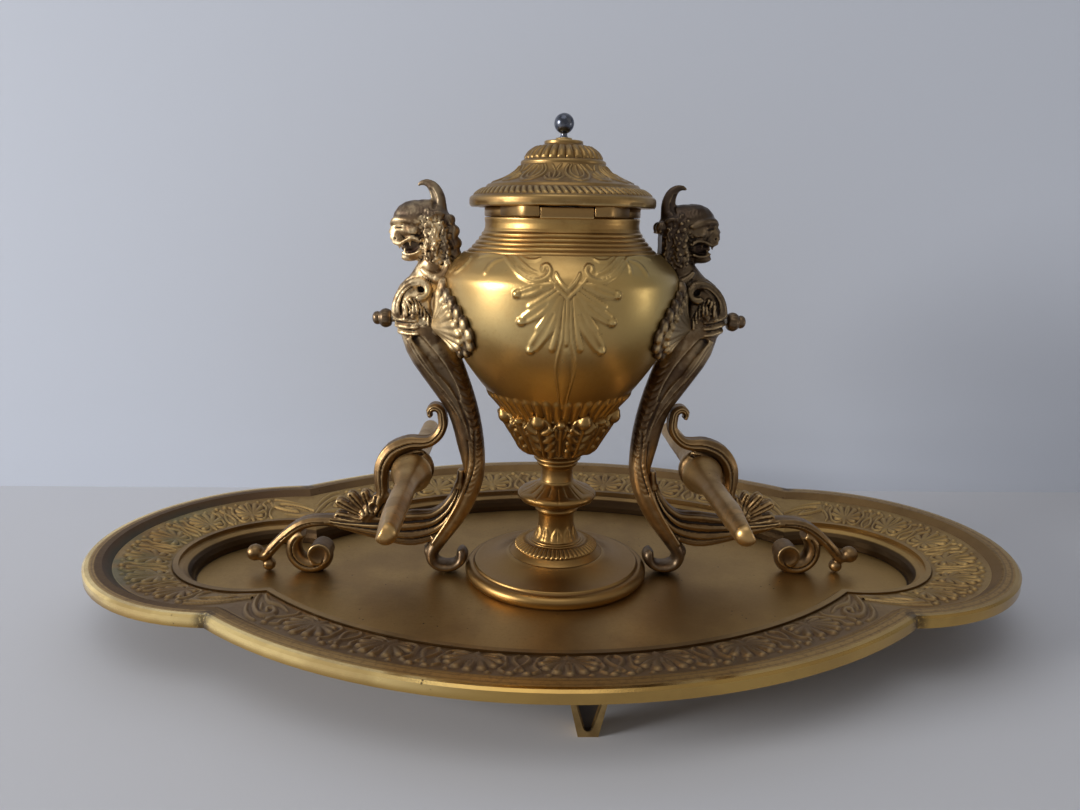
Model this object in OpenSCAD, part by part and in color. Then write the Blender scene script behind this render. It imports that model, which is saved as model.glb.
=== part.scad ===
// Desk inkstand: a four-lobed gilt tray on four feet carries an urn inkwell with a hinged lid,
// held between two lion-headed scroll supports whose volutes hold the pen-rest bars.
// Millimetres, +Z up, -Y is the front, the origin is on the table under the middle of the tray.

/* [Tray] */
// Length of the tray over its side lobes
tray_len = 302; // [288:1:322]
// Width of the tray over its front and back lobes
tray_wid = 184; // [176:1:196]
// Radius of the two round side lobes
side_lobe_r = 56; // [53:0.5:60]
// Radius of the shallow front and back lobes
front_lobe_r = 149; // [142:1:170]
// Height of the tray's floor above the table
floor_h = 10; // [7:0.1:14]
// Height of the rim above the tray's floor
rim_h = 11.7; // [9.5:0.1:14]
// Thickness of the cast wall of the tray
tray_wall = 2.2; // [1.6:0.1:3]
// Height of the plain band round the edge
edge_h = 4.2; // [3.2:0.1:4.8]
// Width of the flat top of the edge
edge_w = 5.5; // [4:0.1:7]
// Width of the dark slope between the edge and the border
slope_w = 2.5; // [1.5:0.1:4]
// Depth of that slope
slope_h = 2; // [1:0.1:2.6]
// Width of the ornamented border
border_w = 17; // [14:0.5:20]
// Fall of the border towards the floor
border_fall = 3.4; // [2:0.1:4]
// Width of the raised moulding inside the border
bead_w = 1.8; // [1.2:0.1:2.6]
// Height of that moulding above the border
bead_h = 0.7; // [0.4:0.1:1.2]
// Width of the hollow moulding that runs down to the floor
cavetto_w = 4.4; // [3:0.1:6]

/* [Feet] */
// How far the front and back feet stand off the middle line
foot_shift = 5; // [0:0.5:8]
// Distance from the tray's edge to the middle of a foot
foot_inset = 17.5; // [15:0.5:20]
// Width of a foot where it meets the tray
foot_top_w = 10.8; // [9:0.2:12]
// Width of a foot on the table
foot_base_w = 5.2; // [4:0.2:6.4]
// Thickness of a foot from front to back
foot_depth = 6.4; // [5:0.2:8]
// Depth of the hollow cast into the outer face of a foot
foot_hollow = 1.6; // [0.8:0.1:2.2]
// Radius of the spigot riveted through the tray
spigot_r = 1.6; // [1.2:0.1:2]

/* [Pedestal] */
// Radius of the round base of the urn
base_r = 30.5; // [28:0.1:33]
// Height of the domed base
base_h = 6.9; // [6:0.1:8.5]
// Radius of the beaded collar on the base
collar_r = 15.1; // [13.5:0.1:16.5]
// Height of the beaded collar
collar_h = 5.4; // [4.4:0.1:6.4]
// Radius of the plain stem below the knop
stem_r = 5.7; // [5:0.1:6.6]
// Height of the lower stem with its leaf ring
lower_stem_h = 12.1; // [11:0.1:14]
// Radius of the knop
knop_r = 13; // [11.5:0.1:14.5]
// Height of the knop
knop_h = 8.5; // [7.4:0.1:10]
// Radius of the plain stem above the knop
neck_stem_r = 4.8; // [4.2:0.1:5.6]
// Height of the upper stem with its two rings
upper_stem_h = 8.6; // [7.6:0.1:10]
// Height of the leafy cup under the bowl
calyx_h = 17; // [15:0.1:19]
// Thickness of the wall of the leafy cup
calyx_wall = 1.5; // [1:0.1:2]

/* [Urn] */
// Height of the bowl, from its foot ring to its shoulder ring
bowl_h = 65.5; // [62:0.1:69]
// Largest radius of the bowl
belly_r = 36.9; // [35.5:0.1:38.5]
// Thickness of the spun wall of the bowl
bowl_wall = 1.6; // [1.2:0.1:2.2]
// Outer radius of the neck
neck_r = 24.05; // [23.5:0.05:24.6]
// Height of the three stepped rings at the foot of the neck
rings_h = 6.2; // [5.4:0.1:7]
// Height of the plain part of the neck
neck_h = 4.2; // [3.6:0.1:5.4]
// Radius of the bore of the neck
mouth_r = 20.4; // [19.6:0.1:20.8]
// Outer radius of the spigot that the lid closes over
spigot_out_r = 22.2; // [21.8:0.1:22.3]
// Height of that spigot
spigot_h = 2.6; // [2.2:0.1:3.2]

/* [Lid] */
// Radius of the rim of the lid
lid_r = 28.7; // [27.4:0.1:29.6]
// Height of the rim band of the lid
lid_rim_h = 3.4; // [2.8:0.1:4]
// Height of the beaded slope, the leafy hollow and the dome together
lid_dome_h = 16.4; // [14.5:0.1:18]
// Radius of the flat disc on top of the dome
top_disc_r = 5.9; // [5:0.1:7]
// Thickness of the wall of the lid
lid_wall = 1.3; // [1:0.1:1.6]
// Gap all round between the skirt of the lid and the neck's spigot
skirt_gap = 0.45; // [0.35:0.05:0.6]
// Gap under the skirt of the shut lid
seat_gap = 0.2; // [0.1:0.05:0.3]
// Radius of the ball finial
ball_r = 3.02; // [2.6:0.02:3.6]
// Radius of the pin of the finial
ball_pin_r = 0.95; // [0.8:0.05:1.2]
// Length of that pin between the lid and the ball
ball_pin_h = 1.5; // [1:0.1:2.5]

/* [Hinge] */
// Radius of the hinge knuckles
knuckle_r = 1.6; // [1.4:0.05:1.65]
// Radius of the hinge pin
pin_r = 0.6; // [0.5:0.05:0.75]
// Length of the middle knuckle, which belongs to the neck
mid_knuckle_l = 15.1; // [13:0.1:17]
// Length of each outer knuckle, which belongs to the lid
end_knuckle_l = 4.2; // [3.4:0.1:5]
// Side gap between two knuckles
knuckle_gap = 0.2; // [0.1:0.05:0.3]
// Radial clearance of the pin in the middle knuckle
pin_gap = 0.05; // [0.03:0.01:0.08]
// Distance of the pin in front of the neck's wall
pin_out = 0.55; // [0.5:0.05:1]

/* [Ink liner] */
// Outer radius of the glazed liner
liner_r = 19.2; // [18:0.1:19.6]
// Height of the glazed liner below its flange
liner_h = 46; // [38:0.5:50]
// Thickness of its wall
liner_wall = 1.8; // [1.4:0.1:2.4]
// Radius of the flange that rests on the neck
liner_flange_r = 21.9; // [21.4:0.1:22]
// Thickness of that flange
liner_flange_t = 1.2; // [0.9:0.1:1.5]
// Gap between the flange of the resting liner and the neck
liner_gap = 0.05; // [0.03:0.01:0.1]

/* [Fixings] */
// Radius of the rod that ties the urn to the tray
rod_r = 2; // [1.6:0.1:2.4]
// Clearance round the rod
rod_gap = 0.1; // [0.05:0.05:0.3]
// Width across the flats of the two rod nuts
nut_af = 7; // [6:0.1:8]
// Height of a rod nut
nut_h = 2.8; // [2:0.1:3.4]
// Radius of the washer under the tray
washer_r = 6.5; // [5:0.1:8]
// Thickness of that washer
washer_t = 0.8; // [0.5:0.1:1.2]
// Height above the tray's floor of the studs that hold the griffins to the urn
stud_h = 85.8; // [84:0.1:87.5]
// Radius of the griffin studs
stud_r = 1.2; // [1:0.05:1.4]
// Radius of the round nut on a griffin's breast
knob_r = 2.95; // [2.5:0.05:3.4]
// Radius of the screws under the tray
screw_r = 1.2; // [1:0.05:1.4]
// Radius of the head of such a screw
screw_head_r = 2.4; // [2:0.1:2.8]
// Height of the head of such a screw
screw_head_h = 1.5; // [1.1:0.1:1.9]
// Length of screw in the casting above the floor
screw_bite = 3; // [2:0.1:3.4]

/* [Griffins] */
// Gap between a griffin and the wall of the urn
griffin_gap = 0.1; // [0.05:0.05:0.3]
// Thickness of the shell fan that clasps the urn
fan_t = 2.2; // [1.6:0.1:3]
// Reach of the shell fan round the urn, in degrees from the middle
fan_angle = 31; // [24:1:36]
// Lean of the left head towards the urn, in degrees
lean_left = 0; // [0:0.5:6]
// Lean of the right head towards the urn, in degrees
lean_right = 8.5; // [3:0.5:10]
// Half thickness of the leg at the breast
leg_depth = 6.6; // [5.6:0.1:7.4]
// Half thickness of the leg at the foot
foot_scroll_depth = 4.2; // [3.6:0.1:5]
// Half thickness of the tail scroll
tail_depth = 3.4; // [2.8:0.1:4]
// Outer radius of the volute that holds a pen bar
volute_r = 10; // [9.4:0.1:10.6]
// Radius of the open ring scroll under the tail
tail_ring_r = 8.2; // [7.6:0.1:8.8]
// Radius of the larger ball at the tip of the tail
tail_ball_r = 2.9; // [2.4:0.1:3.3]

/* [Pen bars] */
// Length of a pen bar
bar_len = 118; // [100:1:130]
// Radius of a pen bar
bar_r = 3.35; // [2.8:0.05:3.6]
// Radius of the flared collar where the bar passes the volute
bar_collar_r = 5.6; // [5:0.1:6]
// Height of the bars above the tray's floor
bar_h = 35.6; // [34.6:0.1:36.6]
// Radial clearance of a bar in its volute
bar_gap = 0.05; // [0.02:0.01:0.1]

/* [Hidden] */
$fn = 96;
EPS = 0.01;

// Heights above the table
rim_z = floor_h + rim_h;
collar_z = floor_h + base_h;
lower_stem_z = collar_z + collar_h;
knop_z = lower_stem_z + lower_stem_h;
upper_stem_z = knop_z + knop_h;
calyx_z = upper_stem_z + upper_stem_h;
neck_z = calyx_z + bowl_h;
neck_top_z = neck_z + rings_h + neck_h;
mouth_z = neck_top_z + spigot_h;
lid_z = neck_top_z + seat_gap;
rim_under_z = lid_z + spigot_h + 0.2;
slope_z = rim_under_z + lid_rim_h;
lid_top_z = slope_z + lid_dome_h;
stud_z = floor_h + stud_h;
bar_z = floor_h + bar_h;
pin_y = -(neck_r + pin_out);
pin_z = rim_under_z - knuckle_r - 0.2;

// ---- Shared curves ----

function spline(a, b, c, d, t) = 0.5 * (2 * b + (c - a) * t + (2 * a - 5 * b + 4 * c - d) * t * t
    + (3 * b - a - 3 * c + d) * t * t * t);
// A smooth line through the given points, with n steps between two of them
function smooth_line(p, n = 4) = let (last = len(p) - 1) [for (i = [0 : last - 1]) for (j = [0 : n - 1])
    spline(p[max(i - 1, 0)], p[i], p[i + 1], p[min(i + 2, last)], j / n), p[last]];

// ---- Tray ----

// Distance inwards from the outline, and height over the rim, of each line of the upper face
border_in = edge_w + slope_w;
bead_in = border_in + border_w;
cavetto_in = bead_in + bead_w;
floor_in = cavetto_in + cavetto_w;
border_z = rim_z - slope_h;
bead_z = border_z - border_fall;

// Height of the underside at a distance inwards that lies within the border
function underside_z(inset) = border_z - border_fall * (inset - border_in) / border_w - tray_wall;

module tray_blank(r) {
    rotate_extrude($fn = 180) polygon([[0, floor_h - tray_wall], [r - floor_in + 0.6, floor_h - tray_wall],
        [r - cavetto_in + 0.6, bead_z - tray_wall - 1.2], [r - bead_in, bead_z - tray_wall],
        [r - border_in, border_z - tray_wall], [r - edge_w, rim_z - edge_h - 0.2], [r - 1.2, rim_z - edge_h],
        [r, rim_z - edge_h + 0.7], [r, rim_z - 0.6], [r - 0.7, rim_z], [0, rim_z]]);
}

// The hollow above the upper face; the cavetto is a quarter of an ellipse in five steps
module tray_hollow(r) {
    drop = bead_z - 0.6 - floor_h;
    rotate_extrude($fn = 180) polygon(concat([[0, rim_z + 1], [0, floor_h]],
        [for (a = [0 : 18 : 90]) [r - floor_in + cavetto_w * (1 - cos(a)), floor_h + drop * sin(a)]],
        [[r - bead_in, bead_z], [r - border_in, border_z], [r - edge_w, rim_z], [r - edge_w, rim_z + 1]]));
}

// Places a round form in all four lobes; the front and back lobes share what both forms cover
module four_lobes() {
    for (side = [-1, 1]) translate([side * (tray_len / 2 - side_lobe_r), 0, 0]) children(0);
    intersection() {
        translate([0, front_lobe_r - tray_wid / 2, 0]) children(1);
        translate([0, tray_wid / 2 - front_lobe_r, 0]) children(1);
    }
}

module tray_moulding(r) {
    translate([0, 0, bead_z - 1]) cylinder(r = r, h = 1 + bead_h, $fn = 180);
}

function foot_places() = [[foot_shift, foot_inset - tray_wid / 2, 0],
    [-foot_shift, tray_wid / 2 - foot_inset, 180], [foot_inset - tray_len / 2, 0, 270], [tray_len / 2 - foot_inset, 0, 90]];
foot_seat_z = underside_z(foot_inset + foot_top_w / 2 + 1);

module tray() {
    color("darkgoldenrod") difference() {
        union() {
            difference() {
                union() {
                    four_lobes() {
                        tray_blank(side_lobe_r);
                        tray_blank(front_lobe_r);
                    }
                    for (p = foot_places()) translate([p[0], p[1], foot_seat_z])
                        cylinder(r = foot_top_w / 2 + 1, h = border_z - foot_seat_z);
                }
                four_lobes() {
                    tray_hollow(side_lobe_r);
                    tray_hollow(front_lobe_r);
                }
            }
            difference() {
                four_lobes() {
                    tray_moulding(side_lobe_r - bead_in);
                    tray_moulding(front_lobe_r - bead_in);
                }
                four_lobes() {
                    tray_moulding(side_lobe_r - bead_in - bead_w);
                    tray_moulding(front_lobe_r - bead_in - bead_w);
                }
            }
        }
        for (p = foot_places()) translate([p[0], p[1], 0]) cylinder(r = spigot_r, h = rim_z + 1);
        translate([0, 0, -1]) cylinder(r = rod_r + rod_gap, h = rim_z);
        for (side = [-1, 1]) {
            translate([side * griffin_screw_x, 0, -1]) cylinder(r = screw_r, h = rim_z);
            translate([side * tail_screw_x, 0, -1]) cylinder(r = screw_r, h = rim_z);
        }
    }
}

// ---- Feet ----

// A tapered bracket whose outer face is hollow, with a spigot riveted flush in the border
module foot(place) {
    color("peru") translate([place[0], place[1], 0]) rotate([0, 0, place[2]]) {
        difference() {
            intersection() {
                translate([0, foot_depth / 2, 0]) rotate([90, 0, 0]) linear_extrude(foot_depth)
                    polygon([[-foot_base_w / 2, 0], [foot_base_w / 2, 0],
                        [foot_top_w * 0.42, foot_seat_z * 0.6], [foot_top_w / 2, foot_seat_z], [-foot_top_w / 2, foot_seat_z],
                        [-foot_top_w * 0.42, foot_seat_z * 0.6]]);
                translate([-foot_top_w, 0, 0]) rotate([90, 0, 90]) linear_extrude(2 * foot_top_w)
                    polygon([[-foot_depth / 2, 0], [foot_depth * 0.4, 0], [foot_depth / 2, foot_seat_z],
                        [-foot_depth / 2, foot_seat_z]]);
            }
            hull() {
                translate([0, -foot_depth / 2, foot_seat_z * 0.2]) rotate([90, 0, 0])
                    cylinder(r = foot_base_w * 0.26, h = 2 * foot_hollow, center = true, $fn = 32);
                translate([0, -foot_depth / 2, foot_seat_z * 0.78]) rotate([90, 0, 0])
                    cylinder(r = foot_top_w * 0.34, h = 2 * foot_hollow, center = true, $fn = 32);
            }
        }
        cylinder(r = spigot_r, h = underside_z(foot_inset) + tray_wall - 0.4);
    }
}

// ---- Pedestal of the urn: turned pieces threaded on the tie rod ----

// A turned piece between two heights, with the bore of the tie rod
module turned(points) {
    difference() {
        rotate_extrude() polygon(points);
        translate([0, 0, points[0][1] - 1]) cylinder(r = rod_r + rod_gap, h = 200);
    }
}

// Low dome with a round torus edge, hollow underneath so that it stands on its edge and its hub
module base_dome() {
    hub_r = washer_r;
    color("goldenrod") translate([0, 0, floor_h]) difference() {
        rotate_extrude() polygon(concat([[0, 0], [base_r - 1.4, 0]],
            [for (a = [-60 : 30 : 90]) [base_r - 2.2 + 2.2 * cos(a), 2 + 2 * sin(a)]],
            [[base_r - 3.2, 4.1], [base_r - 3.5, 4.9]],
            [for (t = [0 : 0.125 : 1]) [base_r - 3.9 - (base_r - 4.9 - collar_r) * t,
                4.9 + (base_h - 4.9) * (t + 0.35 * sin(180 * t))]],
            [[0, base_h]]));
        rotate_extrude() polygon([[hub_r, -1], [base_r - 4, -1], [base_r - 4, 1.6], [base_r - 9, 2.8],
            [collar_r, base_h - 2.6], [hub_r, base_h - 2.6]]);
        translate([0, 0, -1]) cylinder(r = rod_r + rod_gap, h = 200);
    }
}

// Collar with a bead moulding round it
module beaded_collar() {
    color("gold") turned([[0, collar_z], [collar_r - 1.6, collar_z], [collar_r - 0.4, collar_z + 0.7],
        [collar_r, collar_z + 1.8], [collar_r - 0.5, collar_z + 2.9], [collar_r - 1.8, collar_z + 3.5],
        [collar_r - 3.2, collar_z + 3.7], [collar_r - 4, collar_z + 4.4],
        [collar_r - 4.6, collar_z + collar_h], [0, collar_z + collar_h]]);
}

// Stem that rises from a ring of leaves to the fillet under the knop
module lower_stem() {
    z = lower_stem_z;
    top = z + lower_stem_h;
    color("goldenrod") turned(concat([[0, z], [9.4, z]],
        smooth_line([[9.7, z + 1.2], [8.9, z + 2.6], [7, z + 3.6], [stem_r, z + 5.8],
            [stem_r - 0.1, top - 4.2], [6.3, top - 2.6]], 3),
        [[7.1, top - 2], [7.1, top - 0.8], [6.6, top], [0, top]]));
}

module knop() {
    top = knop_z + knop_h;
    color("gold") turned(concat([[0, knop_z], [6.4, knop_z]],
        smooth_line([[7.4, knop_z + 0.6], [knop_r - 2.3, knop_z + 1.8], [knop_r, knop_z + 3.4],
            [knop_r - 1.8, knop_z + 5], [8, top - 1.8], [5.6, top]], 3), [[0, top]]));
}

module upper_stem() {
    z = upper_stem_z;
    top = z + upper_stem_h;
    color("goldenrod") turned([[0, z], [5.4, z], [neck_stem_r + 0.1, z + 1], [neck_stem_r - 0.1, z + 2.4],
        [neck_stem_r + 0.3, top - 4.4], [5.6, top - 3.4], [6.5, top - 3], [6.7, top - 2.3], [6.2, top - 1.8],
        [7.2, top - 1.5], [7.7, top - 0.9], [7.2, top - EPS], [0, top]]);
}

// ---- Urn ----

// Outer line of the bowl as radius and height over its foot, through the belly
function bowl_line(grow = 0) = smooth_line([[6.2 + grow, 1.7], [10.9 + grow, 5.6], [15 + grow, 11.9],
    [18.9 + grow, 17.2], [belly_r - 11.1 + grow, bowl_h * 0.386], [belly_r - 4.6 + grow, bowl_h * 0.536],
    [belly_r - 0.9 + grow, bowl_h * 0.682], [belly_r + grow, bowl_h * 0.842],
    [belly_r - 0.9 + grow, bowl_h * 0.905], [belly_r - 3.5 + grow, bowl_h * 0.958],
    [neck_r + 6.4 + grow, bowl_h]], 4);

// The bowl's line below a height, which the leafy cup fits
function bowl_line_below(h) = [for (p = bowl_line()) if (p[1] < h) p];

// Leafy cup whose inner face is the foot of the bowl
module calyx() {
    inner = bowl_line_below(calyx_h - 0.6);
    tip = inner[len(inner) - 1];
    color("darkgoldenrod") translate([0, 0, calyx_z]) difference() {
        rotate_extrude() polygon(concat([[0, 0], [6.9, 0], [7.6, 0.6]],
            smooth_line([[9, 1.6], [11.6 + calyx_wall / 3, 3.2], [12.4 + calyx_wall, 6.4],
                [tip[0] + calyx_wall - 1.8, tip[1] - 4], [tip[0] + calyx_wall, tip[1] - 0.3]], 3),
            [tip], [for (i = [len(inner) - 2 : -1 : 0]) inner[i]], [[0, 1.7]]));
        translate([0, 0, -1]) cylinder(r = rod_r + rod_gap, h = 40);
    }
}

// Thin spun shell, closed at the foot by a floor that the tie rod passes
module bowl() {
    outer = bowl_line();
    floor_top = 4.6;
    cavity = [for (p = bowl_line(-bowl_wall)) if (p[1] > floor_top + 0.4) p];
    color("goldenrod") translate([0, 0, calyx_z]) difference() {
        rotate_extrude() polygon(concat([[0, 1.7]], outer, [[0, bowl_h]]));
        rotate_extrude() polygon(concat([[0, floor_top], [cavity[0][0] - 0.3, floor_top]], cavity,
            [[cavity[len(cavity) - 1][0], bowl_h + 1], [0, bowl_h + 1]]));
        cylinder(r = rod_r + rod_gap, h = 20);
        translate([0, 0, stud_z - calyx_z]) rotate([0, 90, 0])
            cylinder(r = stud_r, h = 2 * belly_r + 4, center = true);
    }
}

// Three stepped rings, the plain neck, the spigot and the middle hinge knuckle
module neck() {
    z = neck_z;
    ring_t = rings_h / 3;
    color("gold") difference() {
        union() {
            rotate_extrude() polygon(concat([[mouth_r, z], [neck_r + 6, z]],
                [for (i = [0 : 2]) for (a = [-70 : 35 : 70])
                    [neck_r + 4.9 - 1.9 * i + 0.8 * cos(a), z + ring_t * (i + 0.5 + 0.45 * sin(a))]],
                [[neck_r, z + rings_h + 0.2], [neck_r, neck_top_z], [spigot_out_r, neck_top_z],
                [spigot_out_r, mouth_z], [mouth_r, mouth_z]]));
            translate([-mid_knuckle_l / 2, pin_y, pin_z]) rotate([0, 90, 0])
                cylinder(r = knuckle_r, h = mid_knuckle_l, $fn = 48);
            translate([-mid_knuckle_l / 2, pin_y, pin_z - knuckle_r]) cube([mid_knuckle_l, 4.4, knuckle_r]);
        }
        translate([0, 0, z - 1]) cylinder(r = mouth_r, h = 40);
        translate([-mid_knuckle_l, pin_y, pin_z]) rotate([0, 90, 0])
            cylinder(r = pin_r + pin_gap, h = 2 * mid_knuckle_l, $fn = 48);
    }
}

pin_half = mid_knuckle_l / 2 + knuckle_gap + end_knuckle_l;

module hinge_pin() {
    color("sienna") translate([-pin_half, pin_y, pin_z]) rotate([0, 90, 0])
        cylinder(r = pin_r, h = 2 * pin_half, $fn = 48);
}

// ---- Lid ----

// Outer line of the lid from its rim to its top disc, as radius and height
function lid_line(grow = 0) = let (h = lid_dome_h)
    concat([[lid_r - 0.5 + grow, slope_z - 0.3], [lid_r - 1.1 + grow, slope_z],
        [23.6 + grow, slope_z + 0.16 * h], [23.2 + grow, slope_z + 0.2 * h]],
    smooth_line([[22.6 + grow, slope_z + 0.21 * h], [18.3 + grow, slope_z + 0.31 * h],
        [15 + grow, slope_z + 0.43 * h], [13 + grow, slope_z + 0.55 * h]], 3),
    [[12.7 + grow, slope_z + 0.58 * h], [12.6 + grow, slope_z + 0.63 * h]],
    smooth_line([[11.8 + grow, slope_z + 0.65 * h], [10.6 + grow, slope_z + 0.78 * h],
        [8.4 + grow, slope_z + 0.88 * h], [top_disc_r + 0.4 + grow, slope_z + 0.93 * h]], 3));

skirt_in_r = spigot_out_r + skirt_gap;
ceiling_z = lid_top_z - 2.6;

// Domed shell with a skirt that closes over the neck, cut away in front for the hinge
module lid() {
    cut_half = mid_knuckle_l / 2 + knuckle_gap;
    color("darkgoldenrod") difference() {
        union() {
            rotate_extrude() polygon(concat([[0, lid_z], [neck_r, lid_z], [neck_r, rim_under_z],
                [lid_r - 0.6, rim_under_z], [lid_r, rim_under_z + 0.8], [lid_r, slope_z - 0.9]],
                lid_line(), [[top_disc_r, lid_top_z - 1.1], [top_disc_r, lid_top_z], [3, lid_top_z],
                [2.6, lid_top_z + 0.9], [0, lid_top_z + 0.9]]));
            for (side = [-1, 1]) translate([side * (cut_half + end_knuckle_l / 2), pin_y, pin_z]) {
                rotate([0, 90, 0]) cylinder(r = knuckle_r, h = end_knuckle_l, center = true, $fn = 48);
                translate([-end_knuckle_l / 2, -knuckle_r, 0])
                    cube([end_knuckle_l, 2 * knuckle_r, rim_under_z - pin_z + 0.6]);
            }
        }
        rotate_extrude() polygon(concat([[0, lid_z - 1], [skirt_in_r, lid_z - 1],
            [skirt_in_r, rim_under_z + 0.8]],
            [for (p = lid_line(-lid_wall)) if (p[0] < skirt_in_r - 0.2 && p[1] < ceiling_z) p - [0, 0.9]],
            [[3.2, ceiling_z - 0.9], [0, ceiling_z - 0.9]]));
        translate([-cut_half, pin_y - knuckle_r - 1, lid_z - 1])
            cube([2 * cut_half, knuckle_r + 7, rim_under_z - lid_z + 1]);
        for (side = [-1, 1]) translate([side * (cut_half + end_knuckle_l / 2), pin_y, pin_z])
            rotate([0, 90, 0]) cylinder(r = pin_r, h = end_knuckle_l + 1, center = true, $fn = 48);
        cylinder(r = ball_pin_r, h = 400);
    }
}

finial_nut_h = 1.6;

// Steel ball on a turned pin that passes the top of the lid
module finial() {
    ball_z = lid_top_z + 0.9 + ball_pin_h + ball_r - 0.3;
    color("darkslategray") {
        translate([0, 0, ball_z]) sphere(r = ball_r, $fn = 64);
        translate([0, 0, ceiling_z - 0.9 - finial_nut_h]) cylinder(r = ball_pin_r, h = ball_z - ceiling_z);
    }
}

module finial_nut() {
    color("sienna") translate([0, 0, ceiling_z - 0.9 - finial_nut_h]) difference() {
        cylinder(r = 2.4, h = finial_nut_h);
        translate([0, 0, -1]) cylinder(r = ball_pin_r, h = 5);
    }
}

// ---- Ink liner ----

liner_top_z = mouth_z + liner_gap;

module ink_liner() {
    corner = 4;
    color("lightsteelblue") translate([0, 0, liner_top_z]) difference() {
        rotate_extrude() polygon(concat([[0, -liner_h]],
            [for (a = [0 : 15 : 90])
                [liner_r - corner + corner * sin(a), corner - corner * cos(a) - liner_h]],
            [[liner_r, 0], [liner_flange_r, 0], [liner_flange_r, liner_flange_t], [0, liner_flange_t]]));
        rotate_extrude() polygon(concat([[0, liner_wall - liner_h]],
            [for (a = [0 : 15 : 90]) [liner_r - corner + (corner - liner_wall) * sin(a),
                corner - (corner - liner_wall) * cos(a) - liner_h]],
            [[liner_r - liner_wall, liner_flange_t + 1], [0, liner_flange_t + 1]]));
    }
}

// ---- Tie rod, its nuts and washer ----

rod_foot_z = floor_h - tray_wall - washer_t - nut_h - 0.6;
bowl_nut_z = calyx_z + 4.6;

module tie_rod() {
    color("gray") translate([0, 0, rod_foot_z])
        cylinder(r = rod_r, h = bowl_nut_z + nut_h + 0.8 - rod_foot_z, $fn = 48);
}

module rod_nut(z) {
    translate([0, 0, z]) difference() {
        cylinder(r = nut_af / sqrt(3), h = nut_h, $fn = 6);
        translate([0, 0, -1]) cylinder(r = rod_r, h = nut_h + 2, $fn = 48);
    }
}

module tie_rod_washer() {
    color("gray") translate([0, 0, floor_h - tray_wall - washer_t]) difference() {
        cylinder(r = washer_r, h = washer_t);
        translate([0, 0, -1]) cylinder(r = rod_r + rod_gap, h = washer_t + 2, $fn = 48);
    }
}

module tie_rod_nut() { color("dimgray") rod_nut(floor_h - tray_wall - washer_t - nut_h); }

module bowl_nut() { color("dimgray") rod_nut(bowl_nut_z); }

// ---- Griffin castings ----
// A scroll is a row of oval rings along a flat line. Each point holds the distance out from the urn's
// belly, the height over the tray's floor, the half width in the plane and the half thickness across it.

function scroll_dir(p, i) = let (d = p[min(i + 1, len(p) - 1)] - p[max(i - 1, 0)], n = norm([d[0], d[1]]))
    [d[0] / n, d[1] / n];
function scroll_ring(p, d, sides) = [for (k = [0 : sides - 1]) let (a = 360 * k / sides)
    [belly_r + p[0] - d[1] * p[2] * cos(a), p[3] * sin(a), floor_h + p[1] + d[0] * p[2] * cos(a)]];

module scroll(line, sides = 10) {
    last = len(line) - 1;
    rings = [for (i = [0 : last]) each scroll_ring(line[i], scroll_dir(line, i), sides)];
    walls = [for (i = [0 : last - 1]) for (k = [0 : sides - 1]) let (m = (k + 1) % sides)
        [i * sides + k, i * sides + m, (i + 1) * sides + m, (i + 1) * sides + k]];
    polyhedron(points = rings, faces = concat(walls, [[for (k = [sides - 1 : -1 : 0]) k]],
        [[for (k = [0 : sides - 1]) last * sides + k]]), convexity = 6);
}

// Line of an egg: centre, half length along its tilt, half width and half thickness
function egg_line(x, z, a, b, c, tilt) = [for (t = [-80 : 20 : 80])
    [x + a * sin(t) * cos(tilt), z + a * sin(t) * sin(tilt), b * cos(t), c * cos(t)]];
// Line of a round scroll from one angle to another, with its width tapering
function turn_line(x, z, r0, r1, a0, a1, w0, w1, c, n = 18) = [for (i = [0 : n]) let (t = i / n,
    a = a0 + (a1 - a0) * t, r = r0 + (r1 - r0) * t) [x + r * cos(a), z + r * sin(a), w0 + (w1 - w0) * t, c]];

foot_scroll_x = 0.3;
stud_pivot_x = belly_r + 5;
griffin_screw_x = belly_r + foot_scroll_x;

// S-shaped leg from the breast down to the scroll that it stands on
module griffin_leg() {
    c = foot_scroll_depth;
    scroll(smooth_line([[5.8, stud_h + 0.6, 8.6, leg_depth + 0.8], [4.4, stud_h - 8.1, 8, leg_depth],
        [-0.7, 67.6, 6.7, leg_depth - 0.6], [-5.6, 57.2, 5.1, leg_depth - 1.4], [-8.3, 45.4, 4.5, c + 0.6],
        [-9.3, 33.6, 3.4, c + 0.2], [-5, 22.2, 3.1, c], [2.2, 11.7, 2.9, c], [4.9, 7, 2.7, c],
        [3.6, 3.5, 2.5, c], [foot_scroll_x, 2.5, 2.4, c], [-3, 3.7, 2.1, c], [-4.7, 6.8, 1.8, c],
        [-3.4, 9.3, 1.5, c - 0.4], [-1.8, 8.2, 1.2, c - 0.8]], 3));
    translate([griffin_screw_x, 0, floor_h]) cylinder(r = screw_head_r, h = 2, $fn = 32);
}

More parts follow.
